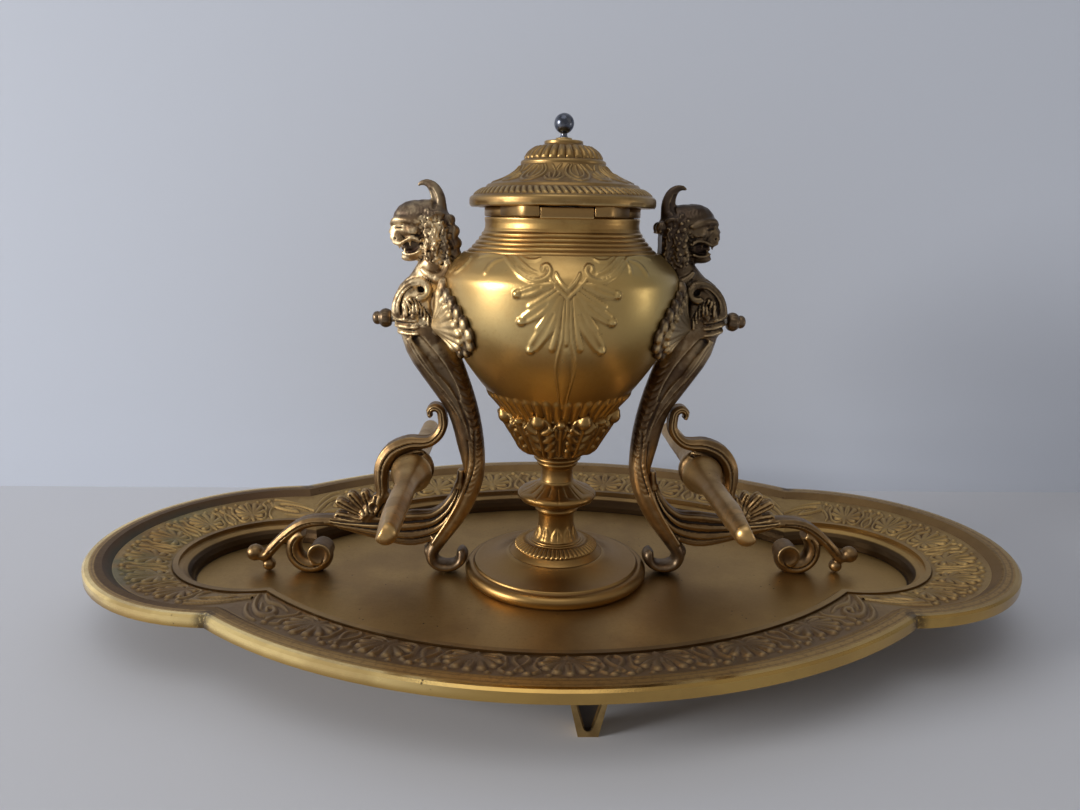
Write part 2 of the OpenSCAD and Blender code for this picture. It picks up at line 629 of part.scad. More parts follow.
// Breast, neck, lion's head with its open jaw, and the horn-like crest, leaning about the stud
module griffin_bust(lean) {
    translate([stud_pivot_x, 0, stud_z]) rotate([0, -lean, 0]) translate([-stud_pivot_x, 0, -stud_z]) {
        scroll(egg_line(7.6, stud_h + 2.8, 11.3, 8.8, 7.8, 93));
        scroll(smooth_line([[5.6, stud_h + 9, 7, 6.4], [3.6, stud_h + 14.7, 5.2, 5.2],
            [2, stud_h + 20, 5.2, 5.2], [1.9, stud_h + 26, 6.4, 6.2], [4, stud_h + 31.4, 6.4, 6], [8, stud_h + 33, 4.6, 4.6]], 3));
        scroll(egg_line(7.4, stud_h + 29.4, 9, 6.9, 6.6, 10));
        scroll(smooth_line([[8.5, stud_h + 27.5, 4.4, 5], [13, stud_h + 26.9, 3.6, 4.2],
            [16.4, stud_h + 25.9, 2.5, 3], [18.2, stud_h + 25.3, 1.2, 1.6]], 3));
        scroll(smooth_line([[6.2, stud_h + 21.8, 2.6, 3.8], [10.2, stud_h + 20.4, 1.9, 3],
            [13.3, stud_h + 19.9, 1.1, 2]], 3));
        scroll(smooth_line([[1.6, stud_h + 33.6, 3, 2.8], [2.6, stud_h + 37.6, 2.4, 2],
            [5, stud_h + 40.9, 1.5, 1.3], [7.6, stud_h + 41.2, 0.7, 0.6]], 3), sides = 8);
    }
}

// Shell fan that clasps the side of the urn, with a scalloped edge all round
module shell_fan() {
    top = stud_h + 14;
    low = stud_h - 10;
    line = [for (p = bowl_line()) let (z = calyx_z + p[1] - floor_h) if (z > low && z < top) p];
    reach = (belly_r + fan_t) * sin(fan_angle);
    intersection() {
        translate([0, 0, calyx_z]) rotate([0, 0, -fan_angle - 5]) rotate_extrude(angle = 2 * fan_angle + 10)
            polygon(concat([for (p = line) p - [1, 0]],
                [for (i = [len(line) - 1 : -1 : 0]) line[i] + [griffin_gap + fan_t, 0]]));
        translate([0, 0, stud_z + 2.2]) rotate([0, 90, 0]) linear_extrude(belly_r + fan_t + 5)
            polygon([for (i = [0 : 71]) let (a = 5 * i, r = 0.88 + 0.12 * abs(sin(6 * a)))
                [10.4 * r * cos(a), reach * r * sin(a)]]);
    }
}

// Everything that must stay clear of the urn is cut back by the urn's own form
module urn_clearance() {
    translate([0, 0, calyx_z]) rotate_extrude() polygon(concat([[0, 1.7]], bowl_line(griffin_gap),
        [[neck_r + 6.4 + griffin_gap, bowl_h + rings_h], [0, bowl_h + rings_h]]));
}

module griffin(lean) {
    difference() {
        union() {
            griffin_leg();
            griffin_bust(lean);
            shell_fan();
        }
        urn_clearance();
        translate([0, 0, stud_z]) rotate([0, 90, 0]) cylinder(r = stud_r + 0.05, h = 200, $fn = 32);
        translate([griffin_screw_x, 0, floor_h - 1])
            cylinder(r = screw_r + 0.05, h = 1 + screw_bite + 0.2, $fn = 32);
    }
}

module griffin_left() { color("saddlebrown") mirror([1, 0, 0]) griffin(lean_left); }

module griffin_right() { color("saddlebrown") griffin(lean_right); }

// ---- Tail castings ----

bar_x = belly_r + 10.8;
volute_x = 11.2;
tail_ring_x = 45;
tail_screw_x = belly_r + tail_ring_x;
fan_x = 29.5;

// Curled strap and the band of the volute, which springs from the tail; the boss that holds the bar;
// the leafy tail that arches over to its two balls, and the ring scroll that it stands on
module tail_form() {
    c = tail_depth;
    v = volute_r;
    scroll(smooth_line([[4.6, 53.8, 0.9, c - 0.8], [5, 55.8, 1, c - 0.4], [3.4, 57.3, 1.2, c],
        [1.3, 56.3, 1.3, c], [0.7, 53.6, 1.3, c], [0.7, 50.8, 1.3, c], [2.1, 48, 1.4, c], [4.6, 45.9, 1.5, c],
        [7.6, bar_h + v - 0.3, 1.7, c], [volute_x + 0.6, bar_h + v - 0.6, 1.9, c],
        [volute_x + 0.62 * v, bar_h + 0.7 * v, 2, c], [volute_x + 0.95 * v, bar_h + 0.22 * v, 2, c],
        [volute_x + v, bar_h - 0.3 * v, 1.8, c], [volute_x + 0.98 * v, bar_h - 0.8 * v, 1.5, c],
        [fan_x - 6, 22, 1.6, c], [fan_x - 4, 18, 2, c]], 3), sides = 8);
    translate([bar_x, 0, bar_z + 0.7]) rotate([90, 0, 0])
        cylinder(r = volute_r - 2.8, h = 2 * c - 1, center = true, $fn = 48);
    scroll(smooth_line([[-5.2, 36, 1.2, c - 1.2], [-4.8, 31.4, 1.5, c - 0.8], [-3.4, 26.4, 2, c - 0.4],
        [-0.4, 21.2, 3.2, c], [4, 17.4, 4.8, c], [11, 15.8, 6, c],
        [18, 15.8, 4.9, c], [25, 16.4, 3.5, c], [33, 17.4, 2.2, c], [40, 18.2, 1.7, c], [47, 17.2, 1.7, c],
        [53, 13.2, 1.7, c], [58.2, 8, 1.8, c - 0.6], [60.6, 5, 1.7, c - 1]], 3));
    scroll(turn_line(tail_ring_x, tail_ring_r, tail_ring_r - 2, tail_ring_r - 3.4, 60, -240, 2, 3.4, c, 24));
    scroll(smooth_line([[48.6, 17, 1.4, c], [50.6, 13.6, 1.6, c], [50.4, 10.4, 2, c]], 3), sides = 8);
    translate([belly_r + 64, 0, floor_h + 6.4]) sphere(r = tail_ball_r, $fn = 16);
    translate([belly_r + 59.6, 0, floor_h + 2.2]) sphere(r = 2.1, $fn = 14);
    translate([tail_screw_x, 0, floor_h]) cylinder(r = screw_head_r, h = 2, $fn = 32);
    translate([belly_r + fan_x, 1.6, floor_h + 19]) rotate([90, 0, 0]) linear_extrude(3.2) union() {
        for (a = [20 : 28 : 160]) rotate(a) translate([0, -1.6]) square([7.2, 3.2]);
        for (a = [20 : 28 : 160]) rotate(a) translate([7.2, 0]) circle(r = 1.7, $fn = 16);
    }
}

module tail() {
    difference() {
        tail_form();
        griffin_leg();
        translate([bar_x, 0, bar_z]) rotate([90, 0, 0])
            cylinder(r = bar_r + bar_gap, h = 40, center = true, $fn = 64);
        translate([tail_screw_x, 0, floor_h - 1])
            cylinder(r = screw_r + 0.05, h = 1 + screw_bite + 0.2, $fn = 32);
    }
}

module tail_left() { color("peru") mirror([1, 0, 0]) tail(); }

module tail_right() { color("peru") tail(); }

// ---- Pen bars ----

// Turned rod with rounded ends and two onion-shaped collars that grip the boss between them
module pen_bar(side) {
    half = bar_len / 2;
    seat = tail_depth - 0.5;
    round_l = 2.6;
    w = bar_collar_r - bar_r;
    collar = [[bar_r + w - 0.2, 0], [bar_r + w, 1], [bar_r + 0.85 * w, 2.4], [bar_r + 0.5 * w, 3.8],
        [bar_r + 0.2 * w, 5], [bar_r + 0.05 * w, 6.4], [bar_r, 8]];
    color("goldenrod") translate([side * bar_x, 0, bar_z]) rotate([90, 0, 0]) rotate_extrude($fn = 64)
        polygon(concat([[0, -half]],
            [for (a = [15 : 15 : 90]) [bar_r * sin(a), round_l - half - round_l * cos(a)]],
            [for (i = [6 : -1 : 0]) [collar[i][0], -seat - collar[i][1]]], [[bar_r, -seat], [bar_r, seat]],
            [for (p = collar) [p[0], seat + p[1]]],
            [for (a = [90 : -15 : 15]) [bar_r * sin(a), half - round_l + round_l * cos(a)]], [[0, half]]));
}

// ---- Studs, knobs and screws ----

knob_x = belly_r + 16.4;

// Rod from the nut inside the urn through the breast into the ball nut
module stud(side) {
    start = bowl_r_at(stud_z - stud_nut_r) - 7;
    color("gray") translate([side * start, 0, stud_z]) rotate([0, 90 * side, 0])
        cylinder(r = stud_r, h = knob_x + 2.6 - start, $fn = 32);
}

// Radius of the bowl's outer line at a height above the table
function bowl_r_at(z) = lookup(z - calyx_z, [for (p = bowl_line()) [p[1], p[0]]]);

stud_nut_r = 3;
stud_nut_h = 3.6;
stud_nut_gap = 0.3;

// The nuts sit inside the bowl against its wall, one behind each griffin
module stud_nuts() {
    wall_r = min(bowl_r_at(stud_z - stud_nut_r), bowl_r_at(stud_z + stud_nut_r)) - bowl_wall;
    nut_x = sqrt(wall_r * wall_r - stud_nut_r * stud_nut_r) - stud_nut_h - stud_nut_gap;
    color("dimgray") for (side = [-1, 1]) translate([side * nut_x, 0, stud_z]) rotate([0, 90 * side, 0])
        difference() {
            cylinder(r = stud_nut_r, h = stud_nut_h, $fn = 6);
            translate([0, 0, -1]) cylinder(r = stud_r, h = stud_nut_h + 2, $fn = 32);
        }
}

// Round nut with a rounded nub on a griffin's breast
module breast_knob(side) {
    r = knob_r;
    color("dimgray") translate([side * knob_x, 0, stud_z]) rotate([0, 90 * side, 0]) difference() {
        rotate_extrude($fn = 48) polygon([[0, 0], [r * 0.7, 0], [r * 0.93, 0.7], [r, 1.9], [r * 0.92, 3],
            [r * 0.74, 3.8], [r * 0.7, 4.6], [r * 0.6, 5.4], [r * 0.3, 6], [0, 6.1]]);
        translate([0, 0, -2]) cylinder(r = stud_r, h = 4.6, $fn = 32);
    }
}

// Cheese-head screws driven up through the tray's floor into the castings
module floor_screws(x) {
    color("gray") for (side = [-1, 1]) translate([side * x, 0, floor_h - tray_wall]) {
        translate([0, 0, -screw_head_h]) cylinder(r = screw_head_r, h = screw_head_h, $fn = 32);
        cylinder(r = screw_r, h = tray_wall + screw_bite, $fn = 32);
    }
}

module griffin_screws() { floor_screws(griffin_screw_x); }

module tail_screws() { floor_screws(tail_screw_x); }

tray();
foot(foot_places()[0]);  // foot_front
foot(foot_places()[1]);  // foot_back
foot(foot_places()[2]);  // foot_left
foot(foot_places()[3]);  // foot_right
base_dome();
beaded_collar();
lower_stem();
knop();
upper_stem();
calyx();
bowl();
neck();
hinge_pin();
lid();
finial();
finial_nut();
ink_liner();
tie_rod();
tie_rod_washer();
tie_rod_nut();
bowl_nut();
griffin_left();
griffin_right();
tail_left();
tail_right();
pen_bar(-1);  // pen_bar_left
pen_bar(1);  // pen_bar_right
stud(-1);  // stud_left
stud(1);  // stud_right
stud_nuts();
breast_knob(-1);  // breast_knob_left
breast_knob(1);  // breast_knob_right
griffin_screws();
tail_screws();
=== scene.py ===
import math
import bmesh
import bpy
import numpy as np
from mathutils import Matrix, Vector


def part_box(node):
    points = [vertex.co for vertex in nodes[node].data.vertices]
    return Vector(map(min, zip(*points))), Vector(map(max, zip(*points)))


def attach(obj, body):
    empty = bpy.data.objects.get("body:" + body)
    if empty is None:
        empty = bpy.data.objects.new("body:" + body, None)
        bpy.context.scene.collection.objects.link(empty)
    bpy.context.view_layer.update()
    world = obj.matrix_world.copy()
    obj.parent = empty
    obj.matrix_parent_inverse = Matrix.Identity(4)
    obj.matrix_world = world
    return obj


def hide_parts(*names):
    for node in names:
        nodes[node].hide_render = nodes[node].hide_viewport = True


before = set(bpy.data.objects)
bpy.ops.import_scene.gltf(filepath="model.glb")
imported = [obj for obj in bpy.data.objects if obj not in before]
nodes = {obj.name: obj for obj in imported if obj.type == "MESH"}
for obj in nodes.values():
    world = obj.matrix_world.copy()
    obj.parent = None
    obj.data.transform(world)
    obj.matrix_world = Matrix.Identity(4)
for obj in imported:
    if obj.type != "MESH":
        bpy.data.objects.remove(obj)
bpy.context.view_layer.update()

MM = 0.001

# ---- Tray -------------------------------------------------------------------------------------
# One cast and gilt dish of four lobes. The edge is turned bright, with a painted highlight where it
# faces the window; painted shade darkens the slope behind it, and the floor is worn to a dull olive
# gold with small black pits.


class Wire:
    """The value of a socket; arithmetic on it adds Math nodes to its finish."""

    def __init__(self, finish, socket):
        self.finish, self.socket = finish, socket

    def maths(self, operation, *others):
        return self.finish.node("Math", {"operation": operation}, [self, *others])

    def __add__(self, other):
        return self.maths("ADD", other)

    def __sub__(self, other):
        return self.maths("SUBTRACT", other)

    def __mul__(self, other):
        return self.maths("MULTIPLY", other)

    def __rsub__(self, other):
        return self.finish.node("Math", {"operation": "SUBTRACT"}, [other, self])

    __radd__ = __add__
    __rmul__ = __mul__

    def size(self):
        return self.maths("ABSOLUTE")

    def over(self, other):
        return self.maths("MAXIMUM", other)

    def hypot(self, other):
        return (self * self + other * other).maths("SQRT")

    def rise(self, low, high):
        """0 up to low, 1 from high on, and smooth between them; low may be the larger."""
        return self.finish.node(
            "MapRange", {"interpolation_type": "SMOOTHSTEP"}, [self, low, high])

    def within(self, low, high, soft):
        """1 between low and high, fading to 0 over soft on both sides."""
        return self.rise(low - soft, low) * self.rise(high + soft, high)


class Finish:
    """A material of one metal or glaze, with the object's own coordinates in millimetres."""

    def __init__(self, name):
        self.material = bpy.data.materials.new(name)
        self.material.use_nodes = True
        self.tree = self.material.node_tree
        self.shader = self.tree.nodes["Principled BSDF"]
        self.place = self.node("TexCoord", {}, {}, out="Object")
        self.mm = self.node("VectorMath", {"operation": "SCALE"}, {0: self.place, "Scale": 1000})
        self.x, self.y, self.z = (
            self.node("SeparateXYZ", {}, [self.mm], out=k) for k in range(3))

    def node(self, kind, settings, sockets, out=0):
        made = self.tree.nodes.new("ShaderNode" + kind)
        for key, value in settings.items():
            setattr(made, key, value)
        pairs = sockets.items() if isinstance(sockets, dict) else enumerate(sockets)
        for key, value in pairs:
            self.join(made.inputs[key], value)
        return Wire(self, made.outputs[out])

    def join(self, socket, value):
        if isinstance(value, Wire):
            self.tree.links.new(value.socket, socket)
        elif isinstance(value, tuple) and socket.type == "RGBA":
            socket.default_value = (*value, 1)
        else:
            socket.default_value = value

    def tint(self, amount, under, over):
        """The colour under, covered by the colour over as far as amount says."""
        return self.node("Mix", {"data_type": "RGBA"}, {0: amount, 6: under, 7: over}, out=2)

    def coats(self, colour, *coats):
        """A colour under coats of others, each as far as its amount says, the last on top."""
        for amount, over in coats:
            colour = self.tint(amount, colour, over)
        return colour

    def noise(self, size, detail=3, rough=0.55, shift=(0, 0, 0)):
        """Fractal noise whose blobs are about size millimetres across."""
        spot = self.node("Mapping", {}, {0: self.mm, 1: shift})
        return self.node("TexNoise", {}, {
            "Vector": spot, "Scale": 1 / size, "Detail": detail, "Roughness": rough})

    def bump(self, height, depth):
        """A Normal from a height of 0 to 1 that stands for depth millimetres."""
        return self.node("Bump", {}, {
            "Height": height, "Distance": depth * MM, "Strength": 1})

    def surface(self, **sockets):
        for key, value in sockets.items():
            self.join(self.shader.inputs[key.replace("_", " ")], value)


def aged_metal(name, gold, brown, soot, polish, rough=0.34, blotch=16, pits=0.5, dull=0,
               recess=0.9, crest=0.8):
    """Old gilding: gold worn to brown in patches, soot in the recesses and polish on the crests.
    The wear of a carved piece comes from its own attribute, above 0 on crests and below in hollows."""
    f = Finish(name)
    wear = f.node("Attribute", {"attribute_name": "wear"}, {}, out="Fac")
    patch = f.noise(blotch, 4, 0.6)
    fine = f.noise(1.1, 3, 0.6, shift=(7, 3, 1))
    high = wear.rise(0.1, 0.85) * crest
    deep = wear.rise(-0.06, -0.7) * recess
    cell = f.node("TexVoronoi", {"feature": "F1"}, {"Vector": f.mm, "Scale": 0.42})
    pit = cell.rise(0.16, 0.07) * f.noise(9, 2, shift=(3, 9, 4)).rise(0.55, 0.68) * pits
    grain = f.noise(0.5, 2)
    colour = f.coats(gold, (patch.rise(0.4, 0.66) * 0.75 + dull, brown),
                     (fine.rise(0.48, 0.74) * 0.35, brown), (high, polish), (deep, soot), (pit, soot))
    f.surface(Base_Color=colour, Metallic=1 - deep * 0.35 - pit * 0.3,
              Roughness=rough + fine * 0.1 + deep * 0.25 + pit * 0.2 + patch.rise(0.4, 0.7) * 0.08
              - high * 0.06,
              Normal=f.bump(grain * 0.6 + patch * 0.4 - pit * 1.4, 0.035))
    f.parts = dict(colour=colour, patch=patch, fine=fine, pit=pit, deep=deep, high=high)
    return f


PALE_GOLD, OLIVE_GOLD, FLAT_GOLD = (0.86, 0.64, 0.28), (0.43, 0.275, 0.1), (0.45, 0.275, 0.088)
EDGE_GOLD, SUNNY_GOLD, FLOOR_PAINTED_LIGHT = (0.54, 0.345, 0.102), (1, 0.77, 0.33), (0.5, 0.315, 0.105)
WALL_BROWN, FLAT_BROWN, EDGE_BROWN = (0.3, 0.185, 0.074), (0.29, 0.17, 0.06), (0.38, 0.232, 0.074)
OLIVE_BROWN, WALL_SHADE, LINE_BROWN = (0.31, 0.185, 0.068), (0.2, 0.125, 0.054), (0.14, 0.085, 0.038)
SLOPE_SHADE, GRIME, SOOT = (0.085, 0.05, 0.032), (0.055, 0.034, 0.022), (0.04, 0.024, 0.015)
VERDIGRIS, STAIN = (0.13, 0.18, 0.12), (0.085, 0.105, 0.085)

SIDE_LOBE, SIDE_X = 56, 95
FRONT_LOBE, FRONT_Y = 149, 57
EDGE_IN, BORDER_IN, BEAD_IN, FLOOR_IN = 2.2, 8, 25, 31.2
RIM_Z, BORDER_Z, BEAD_Z = 21.7, 19.7, 16.3
STAIN_X, STAIN_Y = -76, -15


def tray_finish():
    f = aged_metal("aged gilding of the tray", OLIVE_GOLD, OLIVE_BROWN, SOOT, PALE_GOLD,
                   rough=0.36, blotch=26, pits=0.8)
    side_in = SIDE_LOBE - (f.x.size() - SIDE_X).hypot(f.y)
    front_in = FRONT_LOBE - f.x.hypot(f.y.size() + FRONT_Y)
    inset = side_in.over(front_in)
    fine, patch = f.parts["fine"], f.parts["patch"]
    # The flat of the rim, then its turned edge, with a painted highlight on its upper part where it
    # faces the window
    flat = inset.within(1.8, 5.4, 0.3) * f.z.rise(RIM_Z - 1.2, RIM_Z - 0.4)
    edge = inset.rise(EDGE_IN, EDGE_IN - 0.6) * f.z.rise(RIM_Z - 5.5, RIM_Z - 4.6)
    pale = edge * f.x.rise(-12, -62) * f.z.rise(RIM_Z - 3.4, RIM_Z - 1.4)
    # Painted shade on the slope behind the edge, wider on the left, and two turned lines
    left = f.x.rise(-40, -120)
    slope = inset.within(5.2, BORDER_IN + 0.3, 0.5).over(inset.within(3.6, BORDER_IN + 0.3, 0.5) * left)
    lines = inset.within(4.3, 4.7, 0.2).over(inset.within(2.6, 2.9, 0.2)) * 0.5
    # Soot and painted shade where the floor meets its wall and along the bead, grime at the notches,
    # green stains
    seam_soot_and_shade = (inset.within(FLOOR_IN - 1.5, FLOOR_IN + 0.4, 0.5) * 1.3).over(
        inset.within(BEAD_IN - 0.4, BEAD_IN, 0.3) * 0.8)
    notch = (side_in - front_in).size().rise(2.6, 0.5) * inset.rise(5, 2)
    stain = (f.x - STAIN_X).hypot((f.y - STAIN_Y) * 1.6).rise(15, 4) * 0.5
    green = (f.x.rise(-118, -140) * inset.rise(5.5, BORDER_IN) * 0.5).over(stain) * f.noise(
        14, 2, shift=(40, 2, 0)).rise(0.4, 0.6)
    colour = f.coats(
        f.parts["colour"],
        (inset.rise(FLOOR_IN + 0.2, FLOOR_IN - 1.2) * 0.8,
         f.tint(patch.rise(0.4, 0.6), WALL_BROWN, WALL_SHADE)),
        (flat * 0.85, f.tint(fine.rise(0.45, 0.7), FLAT_GOLD, FLAT_BROWN)),
        # The edge's own gold, with the painted highlight over its upper part on the left
        (edge * 0.9, f.tint(patch.rise(0.42, 0.62) * 0.5, f.tint(pale, EDGE_GOLD, SUNNY_GOLD),
                            EDGE_BROWN)),
        # Painted shade on the slope, and the turned lines
        (slope * (left * 0.45 + 0.4), SLOPE_SHADE), (lines, LINE_BROWN),
        # Painted light: the floor is lighter towards the right, against the shade that falls there
        (f.x.rise(20, 110) * inset.rise(20, 24) * 0.55, FLOOR_PAINTED_LIGHT),
        # Soot and painted shade at the seams, then grime, green stains and pits
        (seam_soot_and_shade * 0.7, SOOT), (notch * fine.rise(0.3, 0.5) * 0.8, GRIME), (green, STAIN),
        (f.parts["pit"], SOOT))
    # The painted highlight is also less metallic, so the window lights it broadly
    f.surface(Base_Color=colour, Metallic=1 - pale * 0.36,
              Roughness=fine * 0.12 + 0.36 + slope * 0.16 + green * 0.2 - edge * 0.23)
    return f.material


def paint(piece, material):
    piece.data.materials.clear()
    piece.data.materials.append(material)


paint(nodes["tray"], tray_finish())
rounding = nodes["tray"].modifiers.new("rounded_edge", "BEVEL")
rounding.width, rounding.segments = 1.8 * MM, 6
rounding.limit_method, rounding.angle_limit = "ANGLE", math.radians(60)

# ---- Ornament of the tray's border ------------------------------------------------------------
# The border between the rim and the floor is cast with a running frieze: palmettes that open
# towards the rim, tall buds between them, and a curled leaf each side of every notch.


def smooth_line(points, steps=6):
    """A smooth line through points of any number of coordinates."""
    p = np.array(points, float)
    out = []
    for i in range(len(p) - 1):
        a, b, c, d = p[max(i - 1, 0)], p[i], p[i + 1], p[min(i + 2, len(p) - 1)]
        for t in np.arange(steps) / steps:
            out.append(0.5 * (2 * b + (c - a) * t + (2 * a - 5 * b + 4 * c - d) * t ** 2
                              + (3 * b - a - 3 * c + d) * t ** 3))
    return np.array(out + [p[-1]])


def stroke(points, width, height, taper=(1, 1), steps=5):
    """A ridge along a smooth line, as rows of place, place, half width and height. Its half width
    is width in the middle and taper times that at its two ends."""
    line = smooth_line(points, steps)
    t = np.linspace(0, 1, len(line))
    share = np.interp(t, (0, 0.5, 1), (taper[0], 1, taper[1]))
    return np.column_stack([line, width * share, height * np.sqrt(share)])


def strokes(*rows):
    """Strokes from rows of points, width, height and taper."""
    return [stroke(*row) for row in rows]


def ball(x, z, radius, height):
    return np.array([[x, z, radius, height], [x + 0.01, z, radius, height]])


def mirrored(strokes):
    return strokes + [s * (-1, 1, 1, 1) for s in strokes]


def relief(across, up, strokes):
    """Height of the highest ridge at each place; grooves are strokes of negative height."""
    places = np.column_stack([across, up])
    rise, sink = np.zeros(len(places)), np.zeros(len(places))
    for line in strokes:
        for a, b in zip(line[:-1], line[1:]):
            reach = max(a[2], b[2])
            low, high = np.minimum(a[:2], b[:2]) - reach, np.maximum(a[:2], b[:2]) + reach
            near = np.flatnonzero(((places > low) & (places < high)).all(axis=1))
            if not len(near):
                continue
            along = b[:2] - a[:2]
            p = places[near] - a[:2]
            t = np.clip(p @ along / max(along @ along, 1e-9), 0, 1)
            width, height = a[2] + (b[2] - a[2]) * t, a[3] + (b[3] - a[3]) * t
            off = np.hypot(*(p - t[:, None] * along).T) / width
            dome = height * np.clip(1 - off ** 2, 0, 1) ** 0.6
            rise[near] = np.maximum(rise[near], dome)
            sink[near] = np.minimum(sink[near], dome)
    return rise + sink


def points_of(mesh):
    co = np.empty(len(mesh.vertices) * 3)
    mesh.vertices.foreach_get("co", co)
    return co.reshape(-1, 3) * 1000


def move_points(mesh, mm):
    mesh.vertices.foreach_set("co", (mm * MM).astype(np.float32).ravel())
    mesh.update()


def normals_of(mesh):
    n = np.empty(len(mesh.vertices) * 3)
    mesh.vertex_normals.foreach_get("vector", n)
    return n.reshape(-1, 3)


def neighbours_of(mesh):
    ends = np.empty(len(mesh.edges) * 2, np.int64)
    mesh.edges.foreach_get("vertices", ends)
    a, b = ends.reshape(-1, 2).T
    return a, b, np.bincount(np.concatenate([a, b]), minlength=len(mesh.vertices))


def eased(values, net, times):
    """Values of the mesh's points, averaged with their neighbours a number of times."""
    a, b, count = net
    for _ in range(times):
        total = np.column_stack([
            np.bincount(a, v[b], len(count)) + np.bincount(b, v[a], len(count))
            for v in values.T])
        values = 0.5 * values + 0.5 * total / np.maximum(count, 1)[:, None]
    return values


def mark_wear(piece, depth=0.35, times=14):
    """Keeps how far each point stands above or below its surroundings, as the piece's wear."""
    mesh = piece.data
    co, n = points_of(mesh), normals_of(mesh)
    stand = ((co - eased(co, neighbours_of(mesh), times)) * n).sum(axis=1) / depth
    mark = mesh.attributes.new("wear", "FLOAT", "POINT")
    mark.data.foreach_set("value", np.clip(stand, -1.5, 1.5).astype(np.float32))


def mesh_of(name, bm, unit=MM):
    mesh = bpy.data.meshes.new(name)
    bmesh.ops.scale(bm, vec=(unit, unit, unit), verts=bm.verts)
    bm.to_mesh(mesh)
    bm.free()
    return mesh


def placed(name, data):
    thing = bpy.data.objects.new(name, data)
    bpy.context.scene.collection.objects.link(thing)
    return thing


def finished(name, mesh, material, body, slot, *stands_for):
    """A smooth piece that rides on a body and may stand for nodes of the solid model."""
    mesh.shade_smooth()
    mesh.materials.clear()
    mesh.materials.append(material)
    piece = placed(name, mesh)
    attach(piece, body)
    if stands_for:
        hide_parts(*stands_for)
    return piece


def new_piece(name, bm, *rest):
    """A finished piece from a bmesh in millimetres."""
    return finished(name, mesh_of(name, bm), *rest)


PITCH, BORDER_W = 21.5, BEAD_IN - BORDER_IN
NOTCH_LEAF_LONG = 15
LAP, SKIN, SUNK = 0.25, 0.05, -0.4


def border_motif():
    """One palmette with half a bud on each side; x runs along the border, z out from the bead."""
    half = []
    for turn, reach, wide in ((22, 7.6, 0.95), (46, 7, 0.95), (74, 6.2, 0.9), (104, 4.8, 0.8)):
        a = math.radians(turn)
        tip = (reach * math.sin(a), 5.2 + reach * math.cos(a))
        mid = (0.55 * tip[0] + 0.5 * math.cos(a), 5.2 + 0.55 * (tip[1] - 5.2) - 0.4 * math.sin(a))
        half.append(stroke([(0.5, 5.2), mid, tip], wide, 0.55, (0.35, 1.1)))
    half += strokes(
        ([(0.5, 4.4), (2.2, 2.4), (4.6, 1.7), (6.6, 3), (7.2, 6), (7.6, 9.5), (6.6, 12), (7.6, 13.6)],
         0.5, 0.42, (0.7, 0.9)),
        ([(10.75, 9.8), (9.3, 6.4), (8.9, 3.6), (10, 1.6)], 0.5, 0.4, (0.8, 0.9)),
        ([(10.75, 9.8), (10, 12.6)], 0.55, 0.4, (0.8, 1)))
    half += [ball(9, 14.2, 0.85, 0.5), ball(4.4, 14.4, 0.6, 0.35)]
    lone = strokes(([(0, 5.4), (0, 9.5), (0, 13.6)], 1.05, 0.6, (0.4, 0.9)),
                   ([(0, 1), (0, 3.4), (0, 5)], 1.2, 0.5, (0.3, 0.8)),
                   ([(0, 8), (0, 12.6)], 0.28, -0.3, (0.5, 0.5)))
    return mirrored(half) + lone


def notch_leaf():
    """A curled leaf that fills the corner of a notch; x runs away from the notch."""
    return strokes(
        ([(0.8, 1.2), (2.6, 6), (5.2, 9.6), (9, 11.6), (12.4, 10.2), (13, 7.2), (11, 5.6),
          (9.4, 7), (10.2, 8.4)], 0.9, 0.6, (0.5, 0.5)),
        ([(1.4, 9.5), (4, 13.2), (8, 15.2), (13, 14.6)], 0.7, 0.45, (0.4, 0.4)),
        ([(3.4, 1.4), (7, 3.6), (12.6, 2.6), (16.5, 4)], 0.8, 0.45, (0.5, 0.4)),
        ([(5.6, 6), (7.6, 8.8)], 0.5, 0.35, (0.5, 0.6)))


def crossings(a, ra, b, rb):
    """The two points where two circles of the ground plan cross."""
    d = np.subtract(b, a)
    gap = np.hypot(*d)
    along = (gap ** 2 + ra ** 2 - rb ** 2) / (2 * gap)
    side = math.sqrt(ra ** 2 - along ** 2) * np.array((-d[1], d[0])) / gap
    foot = np.array(a) + along * d / gap
    return foot - side, foot + side


def half_angle(radius, inset):
    """Half the angle of a lobe's arc at a distance inwards from the edge."""
    ends = crossings((SIDE_X, 0), SIDE_LOBE - inset, (0, FRONT_Y), FRONT_LOBE - inset)
    x, y = min(ends, key=lambda end: end[1])
    return math.atan2(x, FRONT_Y - y) if radius == FRONT_LOBE else math.atan2(-y, x - SIDE_X)


